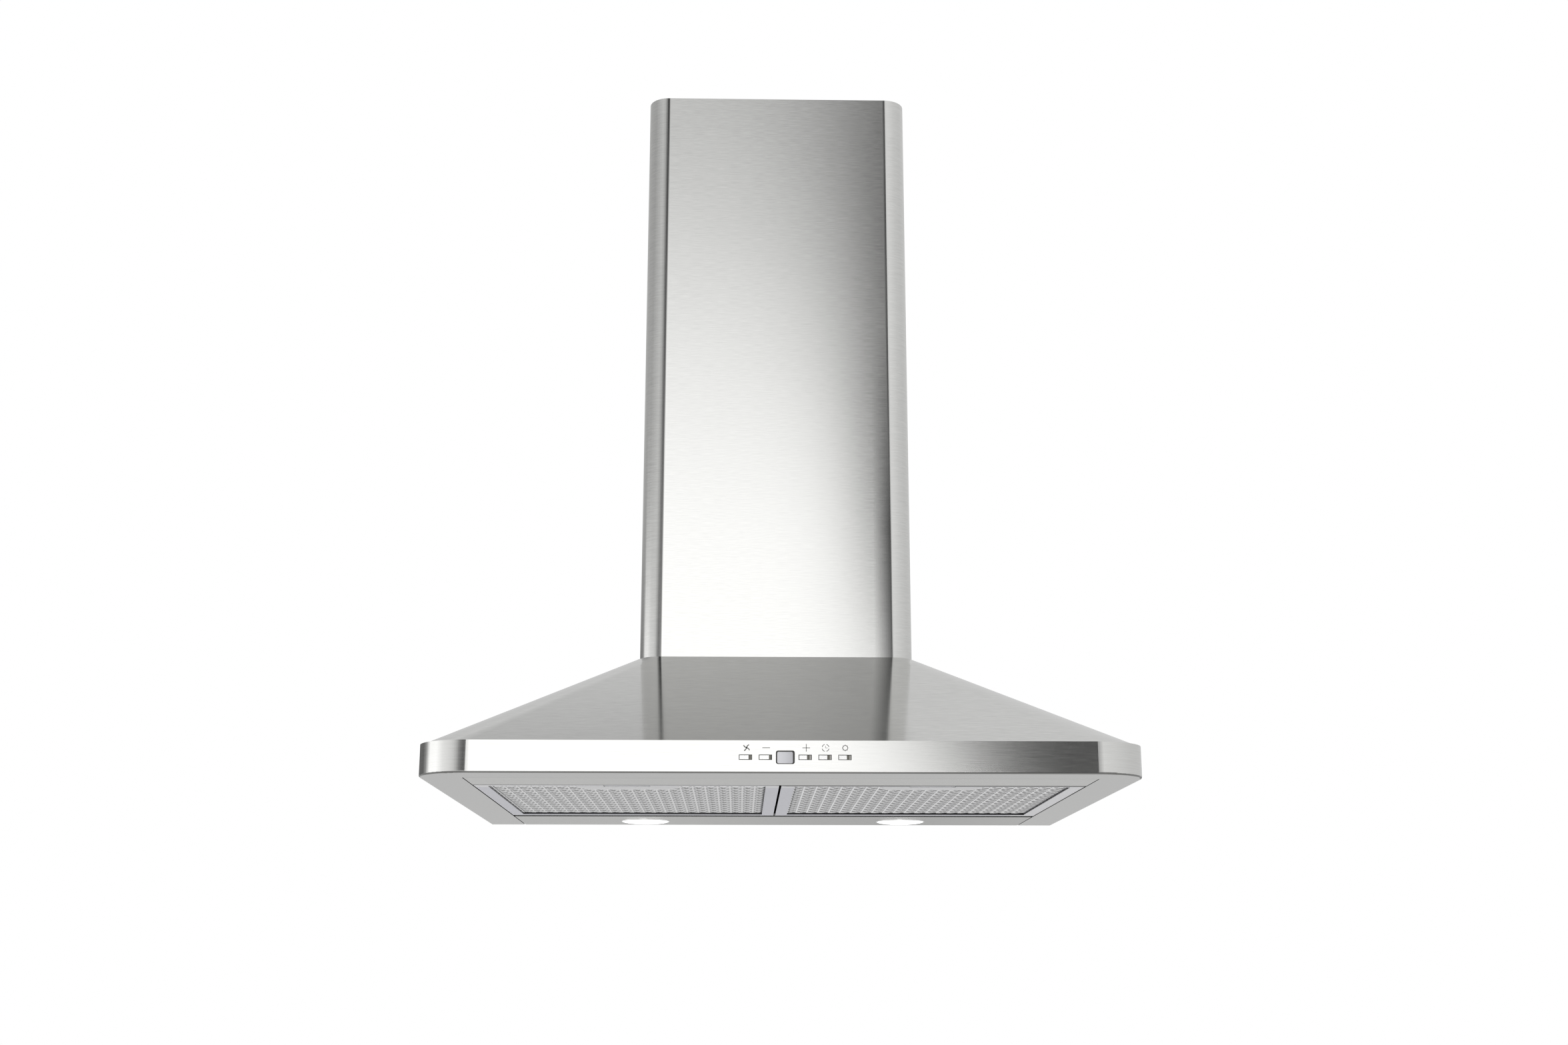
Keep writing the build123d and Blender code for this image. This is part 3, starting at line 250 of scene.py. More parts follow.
floor_rim = []
for n in range(floor_sides):
    turn = math.tau * n / floor_sides
    across, ahead = floor_radius * math.cos(turn), floor_middle + floor_radius * math.sin(turn)
    floor_rim.append((across, ahead, floor_height))
floor = make_mesh("studio_floor", floor_rim, [tuple(range(len(floor_rim)))])
paper, tree, shader = finish("pale_paper")
grain = noise(tree, coordinates(tree), 30.0, 3.0)
link(tree, ramp(tree, grain, [(0.3, (0.90, 0.90, 0.89)), (0.7, (0.93, 0.93, 0.92))]), shader, "Base Color")
shader.inputs["Roughness"].default_value = 0.8
from_middle = node(
    tree, "ShaderNodeVectorMath", {"operation": "DISTANCE"},
    i0=coordinates(tree), i1=(0, floor_middle, floor_height),
).outputs["Value"]
link(tree, spread(tree, from_middle, fade_start, fade_end, 1.0, 0.0), shader, "Alpha")
floor.data.materials.append(paper)
floor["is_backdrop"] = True


# ---- Canopy and band: brushed stainless sheet, folded and welded, ground smooth at the corners ----
# The brush lines run level round the hood, so light smears up and down and stays crisp sideways.
# Where the band bends round its corners and folds in below, shade is painted into its colour: dark lines
# where the corners begin, and a darker fold.
stainless = (0.74, 0.74, 0.725)
level_lines = (36, 36, 1400)
short_lines = (80, 80, 1400)
grain_share, streak_share, patch_share = 0.75, 0.1, 0.15
bend_inset = 43.5 * mm


def dressed(material, *names):
    """Gives CAD nodes this material alone."""
    for name in names:
        slots = nodes[name].data.materials
        slots.clear()
        slots.append(material)


def shade(colour, by):
    return tuple(min(1.0, c * by) for c in colour)


def position(tree):
    """X, Y and Z of the place on the hood, as sockets in metres."""
    return node(tree, "ShaderNodeSeparateXYZ", i0=coordinates(tree)).outputs


def facing(tree):
    """X, Y and Z of the way that the sheet faces, as sockets."""
    return node(tree, "ShaderNodeSeparateXYZ", i0=node(tree, "ShaderNodeTexCoord").outputs["Normal"]).outputs


def stripe(tree, value, start, full, held, end):
    """1 from full to held, and fading to 0 at start and at end."""
    return maths(tree, "MINIMUM", spread(tree, value, start, full), spread(tree, value, end, held))


def brushed(name, colour, roughness, lines, anisotropic=0.0, bump=0.02, contrast=0.07, shaded_faces=None):
    """Brushed metal: lines gives how quickly the grain changes along X, Y and Z, per metre.
    The last argument, when given, paints shade into some faces' colour: how bright they stay, and between
    which Z values their normals lie."""
    made, tree, shader = finish(name)
    fine = noise(tree, coordinates(tree, lines), 1.0, 4.0, 0.65)
    broad = noise(tree, coordinates(tree, [line / 4 for line in lines]), 1.0, 2.0)
    patches = noise(tree, coordinates(tree), 5.0, 2.0)
    tone = maths(tree, "ADD", times(tree, fine, grain_share), times(tree, broad, streak_share))
    tone = maths(tree, "ADD", tone, times(tree, patches, patch_share))
    sheet = ramp(tree, tone, [(0.32, shade(colour, 1 - contrast)), (0.68, shade(colour, 1 + contrast))])
    # Painted shade: faces whose normals lie in the given Z range are darkened.
    if shaded_faces:
        left, first, last = shaded_faces
        soft = (last - first) * 0.08
        inside = stripe(tree, facing(tree)["Z"], first, first + soft, last - soft, last)
        sheet = blended(tree, inside, sheet, (*shade(colour, left), 1))
    link(tree, sheet, shader, "Base Color")
    link(tree, spread(tree, tone, 0.3, 0.7, roughness * 0.85, roughness * 1.15), shader, "Roughness")
    relief = node(tree, "ShaderNodeBump", Strength=bump, Distance=0.001, Height=fine)
    link(tree, relief.outputs[0], shader, "Normal")
    shader.inputs["Metallic"].default_value = 1.0
    if anisotropic:
        shader.inputs["Anisotropic"].default_value = anisotropic
        surface = node(tree, "ShaderNodeNewGeometry").outputs["Normal"]
        cross_brushed = lines[2] == lines[1]
        axis = (1, 0, 0) if cross_brushed else (0, 0.02, 1)
        cross = {"operation": "CROSS_PRODUCT"}
        along = node(tree, "ShaderNodeVectorMath", cross, i0=surface, i1=axis).outputs[0]
        across = node(tree, "ShaderNodeVectorMath", cross, i0=surface, i1=along).outputs[0]
        link(tree, along if cross_brushed else across, shader, "Tangent")
    return made


def opened(material):
    """The tree, the shader and the bare colour of a finish, for marks that lie over it."""
    tree = material.node_tree
    shader = tree.nodes["Principled BSDF"]
    return tree, shader, shader.inputs["Base Color"].links[0].from_socket


slope_finish = brushed("slope_stainless", stainless, 0.135, short_lines, 0.8, bump=0.007, contrast=0.10)
tree, shader, bare = opened(slope_finish)
place = position(tree)
slope_top, slope_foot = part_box("canopy_shell")[1].z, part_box("rim_band")[1].z
# Painted shade: the slope's faces that look ahead grow darker towards its foot, fading out between 75 and 115
# mm to the right, and all of the slope is a little darker.
faces_ahead = spread(tree, maths(tree, "ABSOLUTE", facing(tree)["X"]), 0.10, 0.02)
painted_slope_shade = spread(tree, place["Z"], slope_top, slope_foot, 0.08, 0.31)
painted_slope_shade = times(tree, painted_slope_shade, spread(tree, place["X"], 115 * mm, 75 * mm))
painted_slope_shade = maths(tree, "MAXIMUM", times(tree, painted_slope_shade, faces_ahead), 0.03)
link(tree, blended(tree, painted_slope_shade, bare, (0.05, 0.05, 0.05, 1)), shader, "Base Color")
dressed(slope_finish, "canopy_shell")
# The band's downward-sloping fold faces are painted darker as shade.
band_finish = brushed(
    "brushed_band", stainless, 0.135, level_lines, 0.8,
    bump=0.012, contrast=0.06, shaded_faces=(0.34, -0.93, -0.12),
)
tree, shader, bare = opened(band_finish)
along = position(tree)["X"]
right = cad_box[1].x - bend_inset
left = -right
# Painted shade: dark lines where the band's flat front turns into its rounded corners.
left_bend_shade = stripe(tree, along, left - 7 * mm, left - 0.5 * mm, left - 0.5 * mm, left + 3 * mm)
right_bend_shade = stripe(tree, along, right - 0.1 * mm, right, right, right + 4.5 * mm)
bend_shade = maths(tree, "ADD", times(tree, left_bend_shade, 0.4), times(tree, right_bend_shade, 0.5))
bend_shade = times(tree, bend_shade, spread(tree, facing(tree)["Z"], -0.6, -0.3))
link(tree, blended(tree, bend_shade, bare, (0.05, 0.05, 0.05, 1)), shader, "Base Color")
link(tree, spread(tree, along, 60 * mm, 200 * mm, 0.008, 0.020), tree.nodes["Bump"], "Strength")
dressed(band_finish, "rim_band")


# ---- Underside sheets ----
# Front strip and lamp panel close the underside before and behind the filters; they are folded from
# the same stainless sheet, brushed from side to side, and lie between the band's folded flanges.
# The lamp panel is painted darker as shade from its middle to the right, the front strip is painted a little
# lighter than the sheet, and the upright faces of both are painted dark as shade.
cross_lines = (10, 900, 900)
# Painted shade on the upright faces of strip and panel; the strip's colour is painted a little lighter.
panel_shaded_faces = (0.25, -0.85, 0.85)
strip_finish = brushed("panel_stainless", shade(stainless, 1.09), 0.24, cross_lines, 0.6, shaded_faces=panel_shaded_faces)
dressed(strip_finish, "front_strip")
panel_finish = brushed("lamp_panel_stainless", stainless, 0.24, cross_lines, 0.6, shaded_faces=panel_shaded_faces)
tree, shader, bare = opened(panel_finish)
along = position(tree)["X"]
# Painted shade on the lamp panel: it grows from the left end to its deepest between 120 and 170 mm, then
# eases towards the right end.
panel_painted_shade = maths(
    tree, "MINIMUM",
    spread(tree, along, -150 * mm, 120 * mm, 0.0, 0.30),
    spread(tree, along, 290 * mm, 170 * mm, 0.12, 0.30),
)
link(tree, blended(tree, panel_painted_shade, bare, (0.20, 0.20, 0.20, 1)), shader, "Base Color")
dressed(panel_finish, "lamp_panel")


# ---- Back panel and blower chassis ----
# Zinc-coated sheet, cut and folded out of sight: it stands on the wall, carries the blower and holds
# the flue covers. It is screwed together, and the zinc shows its frosted spangle.
def galvanised(name, colour):
    made, tree, shader = finish(name)
    place = coordinates(tree)
    spangle = node(tree, "ShaderNodeTexVoronoi", Vector=place, Scale=110.0).outputs["Color"]
    tone = maths(tree, "ADD", times(tree, spangle, 0.5), times(tree, noise(tree, place, 260.0, 3.0), 0.5))
    tones = ramp(tree, tone, [(0.2, shade(colour, 0.84)), (0.8, shade(colour, 1.08))])
    link(tree, tones, shader, "Base Color")
    link(tree, spread(tree, tone, 0.2, 0.8, 0.34, 0.54), shader, "Roughness")
    relief = node(tree, "ShaderNodeBump", Strength=0.05, Distance=0.001, Height=tone)
    link(tree, relief.outputs[0], shader, "Normal")
    shader.inputs["Metallic"].default_value = 0.9
    return made


zinc = galvanised("zinc_plate", (0.60, 0.61, 0.62))
dressed(zinc, "back_panel", "blower_chassis", "motor_bracket", "flue_feet", "upper_flue_bracket")
dressed(zinc, "capacitor_clip")


# ---- Screws ----
# Zinc-plated pan-head screws with a cross recess, driven into the sheets and into the motor's bracket.
# The heads are pressed and the threads rolled; those of one kind lie together in one node.
head_radius = 3.4 * mm
head_height = 2.2 * mm
head_edge = 0.35 * head_height
head_flat = 0.72 * head_radius
recess_arm = 2.1 * mm
recess_half = 0.45 * mm
recess_depth = 1.3 * mm
thread_radius = 2.0 * mm
thread_root = 0.82 * thread_radius
thread_pitch = 1.0 * mm
tip_radius = 0.55 * thread_radius
neck_radius = 0.8 * thread_radius


def lathe(profile, count=24):
    """Rings of points round the Z axis from (radius, height) pairs, skinned into faces."""
    points = [(radius * math.cos(math.tau * n / count), radius * math.sin(math.tau * n / count), height)
              for radius, height in profile for n in range(count)]
    faces = []
    for step in range(len(profile) - 1):
        for n in range(count):
            m = (n + 1) % count
            faces.append((step * count + n, step * count + m, (step + 1) * count + m, (step + 1) * count + n))
    return points, faces


def together(parts):
    points, faces = [], []
    for more, sides in parts:
        faces += [tuple(len(points) + corner for corner in side) for side in sides]
        points += more
    return points, faces


def cross_outline(arm, half):
    quarter = [(arm, -half), (arm, half), (half, half)]
    outline = []
    for turn in range(4):
        for x, y in quarter:
            for _ in range(turn):
                x, y = -y, x
            outline.append((x, y))
    return outline


def pan_head(length):
    """Screw that points down, its seat at height 0: domed head, cross recess, threaded shank, tip."""
    count = 24
    crests = int((length - 1.5 * thread_radius) / thread_pitch)
    shank = [(0.0, -length), (tip_radius, -length + thread_radius)]
    for turn in range(crests, 0, -1):
        shank += [(thread_root, -(turn + 0.5) * thread_pitch), (thread_radius, -turn * thread_pitch)]
    dome = [(neck_radius, 0.0), (head_radius, 0.0), (head_radius, head_edge)]
    for n in (1, 2, 3):
        lift = math.sin(math.pi / 6 * n)
        dome.append((head_radius - (head_radius - head_flat) * lift ** 2,
                     head_edge + (head_height - head_edge) * lift))
    points, faces = lathe(shank + dome, count)
    cross = cross_outline(recess_arm, recess_half)
    top, base = len(points) - count, len(points)
    points += [(x, y, head_height) for x, y in cross]
    points += [(0.8 * x, 0.8 * y, head_height - recess_depth) for x, y in cross]
    spokes = len(cross)
    for n in range(spokes):
        m = (n + 1) % spokes
        faces.append((base + n, base + m, base + spokes + m, base + spokes + n))
        near, far = top + (count * n // spokes - 1) % count, top + (count * m // spokes - 1) % count
        middle = top + (count * n // spokes) % count
        faces += [(near, middle, base + n), (middle, far, base + m, base + n)] if near != far else []
    faces.append(tuple(base + spokes + n for n in range(spokes)))
    return points, faces


def islands(name):
    """Corners of the box round each loose part of a CAD node."""
    shape = bmesh.new()
    shape.from_mesh(nodes[name].data)
    bmesh.ops.remove_doubles(shape, verts=shape.verts, dist=0.001 * mm)
    left, found = set(shape.verts), []
    while left:
        group, front = set(), [left.pop()]
        while front:
            vert = front.pop()
            group.add(vert)
            for other in (side.other_vert(vert) for side in vert.link_edges):
                if other in left:
                    left.remove(other)
                    front.append(other)
        axes = [[vert.co[axis] for vert in group] for axis in range(3)]
        found.append((Vector([min(axis) for axis in axes]), Vector([max(axis) for axis in axes])))
    shape.free()
    return sorted(found, key=lambda box: tuple(box[0]))


steel = brushed("bright_steel", (0.70, 0.70, 0.70), 0.22, (1800, 900, 900))
for name, along_x in (
    ("chassis_screws", False), ("foot_screws", False), ("collar_screws", False), ("bracket_screws", True),
):
    parts = []
    for low, high in islands(name):
        middle = (low + high) / 2
        length = (high.x - low.x if along_x else high.z - low.z) - head_height
        points, faces = pan_head(length)
        if along_x:
            points = [(high.x - head_height + z, middle.y + y, middle.z - x) for x, y, z in points]
        else:
            points = [(middle.x + x, middle.y + y, high.z - head_height + z) for x, y, z in points]
        parts.append((points, faces))
    screws = make_mesh(name + "_cross", *together(parts))
    screws.data.materials.append(steel)
    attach(screws, "hood")
    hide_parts(name)


# ---- Fan scroll ----
# Two moulded halves of black plastic that wrap the fan wheel and open upwards into the outlet.
# They are screwed to each other and to the chassis, and their skin is lightly grained.
def plastic(name, colour, roughness, speckle=900.0, relief_strength=0.06, metallic=0.0):
    made, tree, shader = finish(name)
    place = coordinates(tree)
    grain = noise(tree, place, speckle, 3.0, 0.6)
    cloud = noise(tree, place, 12.0, 2.0)
    tone = maths(tree, "ADD", times(tree, grain, 0.5), times(tree, cloud, 0.5))
    tones = ramp(tree, tone, [(0.3, shade(colour, 0.92)), (0.7, shade(colour, 1.06))])
    link(tree, tones, shader, "Base Color")
    link(tree, spread(tree, grain, 0.3, 0.7, roughness * 0.88, roughness * 1.12), shader, "Roughness")
    relief = node(tree, "ShaderNodeBump", Strength=relief_strength, Distance=0.0004, Height=grain)
    link(tree, relief.outputs[0], shader, "Normal")
    shader.inputs["Metallic"].default_value = metallic
    return made


black_plastic = plastic("black_plastic", (0.045, 0.045, 0.05), 0.5)
dressed(black_plastic, "scroll_body", "scroll_cover")


# ---- Motor and its bracket ----
# An enamelled steel shell round a laminated core, on a ground shaft in two bronze bearings.
# Three screws hold it to the bracket, and the wheel sits on the shaft's other end.
enamel, tree, shader = finish("motor_enamel")
place = coordinates(tree)
plates = node(tree, "ShaderNodeTexWave", Vector=place, Scale=190.0, Distortion=0.0).outputs["Color"]
along = node(tree, "ShaderNodeSeparateXYZ", i0=place).outputs["X"]
low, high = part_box("fan_motor")
core_start, core_end = low.x + 0.28 * (high.x - low.x), low.x + 0.72 * (high.x - low.x)
past_start = maths(tree, "GREATER_THAN", along, core_start)
core = times(tree, past_start, maths(tree, "LESS_THAN", along, core_end))
shell_tone = ramp(tree, noise(tree, place, 200.0), [(0.3, (0.16, 0.17, 0.19)), (0.7, (0.21, 0.22, 0.24))])
core_tone = ramp(tree, plates, [(0.2, (0.20, 0.19, 0.18)), (0.8, (0.46, 0.45, 0.44))])
link(tree, blended(tree, core, shell_tone, core_tone), shader, "Base Color")
link(tree, spread(tree, core, 0, 1, 0.0, 0.8), shader, "Metallic")
shader.inputs["Roughness"].default_value = 0.38
relief = node(tree, "ShaderNodeBump", Strength=0.5, Distance=0.0004, Height=times(tree, core, plates))
link(tree, relief.outputs[0], shader, "Normal")
dressed(enamel, "fan_motor")
bronze = brushed("bearing_bronze", (0.62, 0.43, 0.24), 0.35, (1500, 1500, 1500))
dressed(bronze, "motor_bearings")
dressed(steel, "motor_shaft")


# ---- Fan wheel ----
# Grey plastic with two rows of forward-slanted blades, one on each side of a middle disc.
# It is moulded in one, balanced, and pressed on the motor's shaft.
wheel_finish = plastic("impeller_plastic", (0.30, 0.31, 0.32), 0.5)
dressed(wheel_finish, "impeller")


# ---- Outlet collar and back-draught flaps ----
# A black plastic ring for a 150 mm duct is screwed to the top of the chassis. Two half-round flaps
# hang on one steel pin across it, and fall shut when the fan stops.
dressed(black_plastic, "outlet_collar", "front_damper_flap", "rear_damper_flap")
dressed(steel, "damper_pin")


# ---- Electrical pieces in the chassis ----
# White plastic terminal box and lamp driver, the motor's capacitor in its clip, and a black gland
# with its nut. They are screwed or clipped to the chassis, beside the scroll.
white_plastic = plastic("white_plastic", (0.78, 0.78, 0.76), 0.4)
dressed(white_plastic, "terminal_box", "terminal_box_cover", "terminal_block", "lamp_driver")
can_finish = plastic("capacitor_white", (0.80, 0.80, 0.78), 0.35)
dressed(can_finish, "capacitor")
dressed(black_plastic, "cable_gland", "gland_nut")


# ---- Lamps ----
# Chromed bezels clip into the lamp panel from below. A frosted, slightly domed lens sits in each and
# covers the lit lamp module, a small finned block held by spring clips.
bezel_radius = 25.5 * mm
tube_radius, tube_inner = 23.0 * mm, 21.5 * mm
rim_above_dome = 3.0 * mm
rim_width = 1.5 * mm
lens_seat = 0.7 * mm
lens_edge = 0.3 * mm
chrome = brushed("lamp_bezel_chrome", (0.94, 0.94, 0.93), 0.30, (400, 400, 400), bump=0.004)
glow, tree, shader = finish("lamp_lens_glass")
dimples = node(tree, "ShaderNodeTexVoronoi", Vector=coordinates(tree), Scale=420.0).outputs["Distance"]
lens_tone = ramp(tree, dimples, [(0.0, (1.0, 0.99, 0.97)), (0.6, (0.86, 0.87, 0.88))])
lens_light = ramp(tree, dimples, [(0.0, (1.0, 1.0, 0.99)), (0.7, (0.92, 0.94, 0.96))])
link(tree, lens_tone, shader, "Base Color")
link(tree, lens_light, shader, "Emission Color")
shader.inputs["Emission Strength"].default_value = 1.6
shader.inputs["Roughness"].default_value = 0.2
heat_sink = brushed("lamp_heat_sink", (0.66, 0.66, 0.68), 0.4, (300, 300, 2000))
spring_finish = brushed("spring_steel", (0.55, 0.55, 0.56), 0.25, (1500, 1500, 1500))
for side in ("left", "right"):
    low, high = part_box(side + "_lamp_bezel")
    middle = (low + high) / 2
    rim_top = low.z + rim_above_dome
    ring_profile = [
        (tube_inner, high.z), (tube_radius, high.z), (tube_radius, rim_top), (bezel_radius, rim_top),
        (bezel_radius, rim_top - 0.6 * mm), (bezel_radius - 0.25 * mm, rim_top - 0.9 * mm),
        (bezel_radius - 0.7 * mm, rim_top - 1.1 * mm), (bezel_radius - 1.3 * mm, rim_top - 1.0 * mm),
        (bezel_radius - rim_width, rim_top - 0.6 * mm), (tube_inner, rim_top - 0.5 * mm),
        (tube_inner, high.z),
    ]
    lens_radius = bezel_radius - rim_width
    lens_top = rim_top - lens_seat
    lens_depth = lens_top - low.z
    lens_profile = [(lens_radius - lens_edge, lens_top + 0.2 * mm)]
    for n in (0, 10, 22, 35, 50, 65, 80):
        turn = math.radians(n)
        lens_profile.append((lens_radius * math.cos(turn), lens_top - lens_depth * math.sin(turn)))
    lens_profile.append((0.0, low.z))
    for name, profile, material, replaced, slot, smooth in (
        ("bezel_ring", ring_profile, chrome, "_lamp_bezel", "lamp_bezel_chrome", False),
        ("frosted_lens", lens_profile, glow, "_lamp_lens", "lamp_lens_glass", True),
    ):
        points, faces = lathe(profile, 64)
        points = [(middle.x + x, middle.y + y, z) for x, y, z in points]
        piece = make_mesh(side + "_" + name, points, faces, smooth)
        piece.data.materials.append(material)
        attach(piece, "hood")
        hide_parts(side + replaced)
    dressed(heat_sink, side + "_lamp_module")
dressed(spring_finish, "lamp_clips")


# ---- Control carrier, board and switches ----
# A black plastic carrier is clipped behind the band. It guides the keys and holds a green circuit
# board with one push switch for each of them.
dressed(black_plastic, "control_carrier", "button_switches")
board_finish = plastic("circuit_board", (0.03, 0.22, 0.10), 0.35)
dressed(board_finish, "control_board")


# ---- Push buttons ----
# Satin silver plastic keys, one in each opening, stand level with the band. The right end of each is
# cut back and painted dark as shade, and a dark collar behind the key keeps it in.
band_front = -500 * mm
key_half_width = 4.95 * mm
key_half_height = 1.7 * mm
bright_length = {"fan": 7.5 * mm, "minus": 7.9 * mm, "plus": 6.5 * mm, "timer": 6.8 * mm, "lamp": 6.6 * mm}
shaded_end_length = 1.8 * mm
stop_length = 0.3 * mm
shaded_end_recess = 0.25 * mm
stop_recess = 0.5 * mm
collar_recess = 1.3 * mm
collar_thickness = 1.5 * mm
stem_half = 1.25 * mm
key_finish = plastic("button_silver", (1.0, 1.0, 0.99), 0.24, 2000.0, 0.01, metallic=0.85)
# Painted shade: the cut-back right end of each key is given a dark colour.
shaded_end_finish = plastic("key_painted_shade", (0.15, 0.145, 0.12), 0.30)
grey_finish = plastic("key_grey", (0.50, 0.49, 0.46), 0.35)
dark_finish = plastic("soft_black", (0.055, 0.055, 0.05), 0.42)


def bar(low, high):
    corners = [(x, y, z) for x in (low[0], high[0]) for y in (low[1], high[1]) for z in (low[2], high[2])]
    return corners, [(0, 1, 3, 2), (4, 6, 7, 5), (0, 4, 5, 1), (2, 3, 7, 6), (0, 2, 6, 4), (1, 5, 7, 3)]


def softened(piece, width):
    made = piece.modifiers.new("soft_edges", "BEVEL")
    made.width = width
    made.segments = 2
    made.limit_method = "ANGLE"


for name, length in bright_length.items():
    low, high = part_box(name + "_button")
    middle_x, middle_z = (low.x + high.x) / 2, (low.z + high.z) / 2
    left, right = middle_x - key_half_width, middle_x + key_half_width
    bottom, top = middle_z - key_half_height, middle_z + key_half_height
    split = left + length
    end = min(split + shaded_end_length, right - stop_length)
    collar = band_front + collar_recess
    collar_back = collar + collar_thickness
    cap = bar((left, low.y, bottom), (split, collar, top))
    shaded_end = bar((split, band_front + shaded_end_recess, bottom), (end, collar, top))
    stop = bar((end, band_front + stop_recess, bottom), (right, collar, top))
    plate = bar((low.x, collar, low.z), (high.x, collar_back, high.z))
    stem = bar(
        (middle_x - stem_half, collar_back, middle_z - stem_half),
        (middle_x + stem_half, high.y, middle_z + stem_half),
    )
    for part, shape, material, edge, slot in (
        ("_key_cap", cap, key_finish, 0.25 * mm, "button_silver"),
        ("_key_stop", stop, grey_finish, 0.15 * mm, "button_silver"),
        ("_key_end", shaded_end, shaded_end_finish, 0.12 * mm, "black_plastic"),
        ("_key_collar", together([plate, stem]), dark_finish, 0.3 * mm, "black_plastic"),
    ):
        piece = make_mesh(name + part, *shape)
        softened(piece, edge)
        piece.data.materials.append(material)
        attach(piece, name + "_key")
        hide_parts(name + "_button")


# ---- Symbols over the buttons ----
# Thin grey lines of ink, screen-printed on the band above the keys: fan, minus, plus, clock and lamp.
# Their sizes and places are in millimetres, and mm turns them into metres as the lines are made.
sign_height = -54.2
thin, bold = 0.60, 0.95
fan_x, minus_x, plus_x, clock_x, lamp_x = -29.6, -13.7, 18.8, 34.5, 50.5
fan_reach, fan_bend = 3.15, 20
plus_reach = 3.1
clock_radius, clock_hand = 2.85, 1.6
lamp_radius, ray_start, ray_end = 2.0, 2.1, 2.6
ink_lift = 0.02 * mm
ink, tree, shader = finish("symbol_ink")
tint = noise(tree, coordinates(tree), 3000.0)
link(tree, ramp(tree, tint, [(0.3, (0.21, 0.21, 0.20)), (0.7, (0.28, 0.28, 0.27))]), shader, "Base Color")
shader.inputs["Roughness"].default_value = 0.6


def stroke(path, width, closed=False):
    """A flat printed line along a path of (x, z) points in millimetres."""
    points, faces = [], []
    count = len(path)
    for n, (x, z) in enumerate(path):
        before = path[(n - 1) % count] if closed or n else path[n]
        after = path[(n + 1) % count] if closed or n < count - 1 else path[n]
        along = Vector((after[0] - before[0], after[1] - before[1])).normalized() * width / 2
        points += [((x - along.y) * mm, 0, (z + along.x) * mm), ((x + along.y) * mm, 0, (z - along.x) * mm)]
    for n in range(count if closed else count - 1):
        near, far = 2 * n, 2 * ((n + 1) % count)
        faces.append((near, near + 1, far + 1, far))
    return points, faces


def ring(x, z, radius, first=0.0, last=360.0, steps=16):
    turns = [math.radians(first + (last - first) * n / steps) for n in range(steps + 1)]
    return [(x + radius * math.cos(turn), z + radius * math.sin(turn)) for turn in turns]


def fan_arm(first_turn, steps=8):
    """One arm of the fan sign, which bends as it goes out."""
    arm = []
    for n in range(steps + 1):
        reach, turn = fan_reach * n / steps, math.radians(first_turn - fan_bend * (n / steps) ** 1.5)
        arm.append((fan_x + reach * math.cos(turn), sign_height + reach * math.sin(turn)))
    return arm


def dash(x0, z0, x1, z1, width):
    return stroke([(x0, sign_height + z0), (x1, sign_height + z1)], width)


signs = [stroke(fan_arm(70 + 90 * n), bold) for n in range(4)]
signs += [dash(minus_x - plus_reach, 0, minus_x + plus_reach, 0, thin)]
signs += [dash(plus_x - plus_reach, 0, plus_x + plus_reach, 0, thin)]
signs += [dash(plus_x, -plus_reach, plus_x, plus_reach, thin)]
signs += [stroke(ring(clock_x, sign_height, clock_radius, 14 + 90 * n, 76 + 90 * n), thin) for n in range(4)]
signs += [dash(clock_x, 0, clock_x, clock_hand, 0.6 * thin)]
signs += [dash(clock_x, 0, clock_x + clock_hand, 0, 0.6 * thin)]
signs += [stroke(ring(lamp_x, sign_height, lamp_radius, steps=20)[:-1], thin, closed=True)]
for n in range(8):
    across, up = math.cos(n * math.pi / 4), math.sin(n * math.pi / 4)
    near_x, far_x = lamp_x + ray_start * across, lamp_x + ray_end * across
    signs.append(dash(near_x, ray_start * up, far_x, ray_end * up, thin))
points, faces = together(signs)
printed = make_mesh("printed_symbols", [(x, band_front - ink_lift, z) for x, y, z in points], faces)
printed.data.materials.append(ink)
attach(printed, "hood")


# ---- Display ----
# A grey window stands in a soft black seal, which is wider at the top and at the right. The display
# module, a dark plastic block on the circuit board, stands behind it. The window is painted lighter at
# its left and darker at its right as a reflection, and glows faintly in that colour as painted light.
seal_half_width, seal_half_height, seal_corner = 7.6 * mm, 5.4 * mm, 1.75 * mm
window_left, window_right = 6.6 * mm, 6.15 * mm
window_bottom, window_top, window_corner = 4.85 * mm, 4.5 * mm, 1.2 * mm
seal_front, seal_inside = band_front + 0.05 * mm, band_front + 0.5 * mm


def rounded(x0, x1, z0, z1, radius, steps=6):
    """Points round a rectangle with rounded corners, as (x, z)."""
    outline = []
    for corner, (x, z) in enumerate(((x1 - radius, z1 - radius), (x0 + radius, z1 - radius),
                                     (x0 + radius, z0 + radius), (x1 - radius, z0 + radius))):
        for n in range(steps + 1):
            turn = math.radians(90 * corner + 90 * n / steps)
            outline.append((x + radius * math.cos(turn), z + radius * math.sin(turn)))
    return outline


def framed(outer, inner, front, recess, rear):
    """A ring between two outlines, its face sloping in from front to recess."""
    count = len(outer)
    points = [(x, y, z) for y, outline in ((front, outer), (recess, inner), (rear, outer), (rear, inner))
              for x, z in outline]
    faces = []
    for n in range(count):
        m = (n + 1) % count
        faces += [
            (n, m, count + m, count + n), (2 * count + n, 3 * count + n, 3 * count + m, 2 * count + m),
            (n, 2 * count + n, 2 * count + m, m), (count + n, count + m, 3 * count + m, 3 * count + n),
        ]
    return points, faces


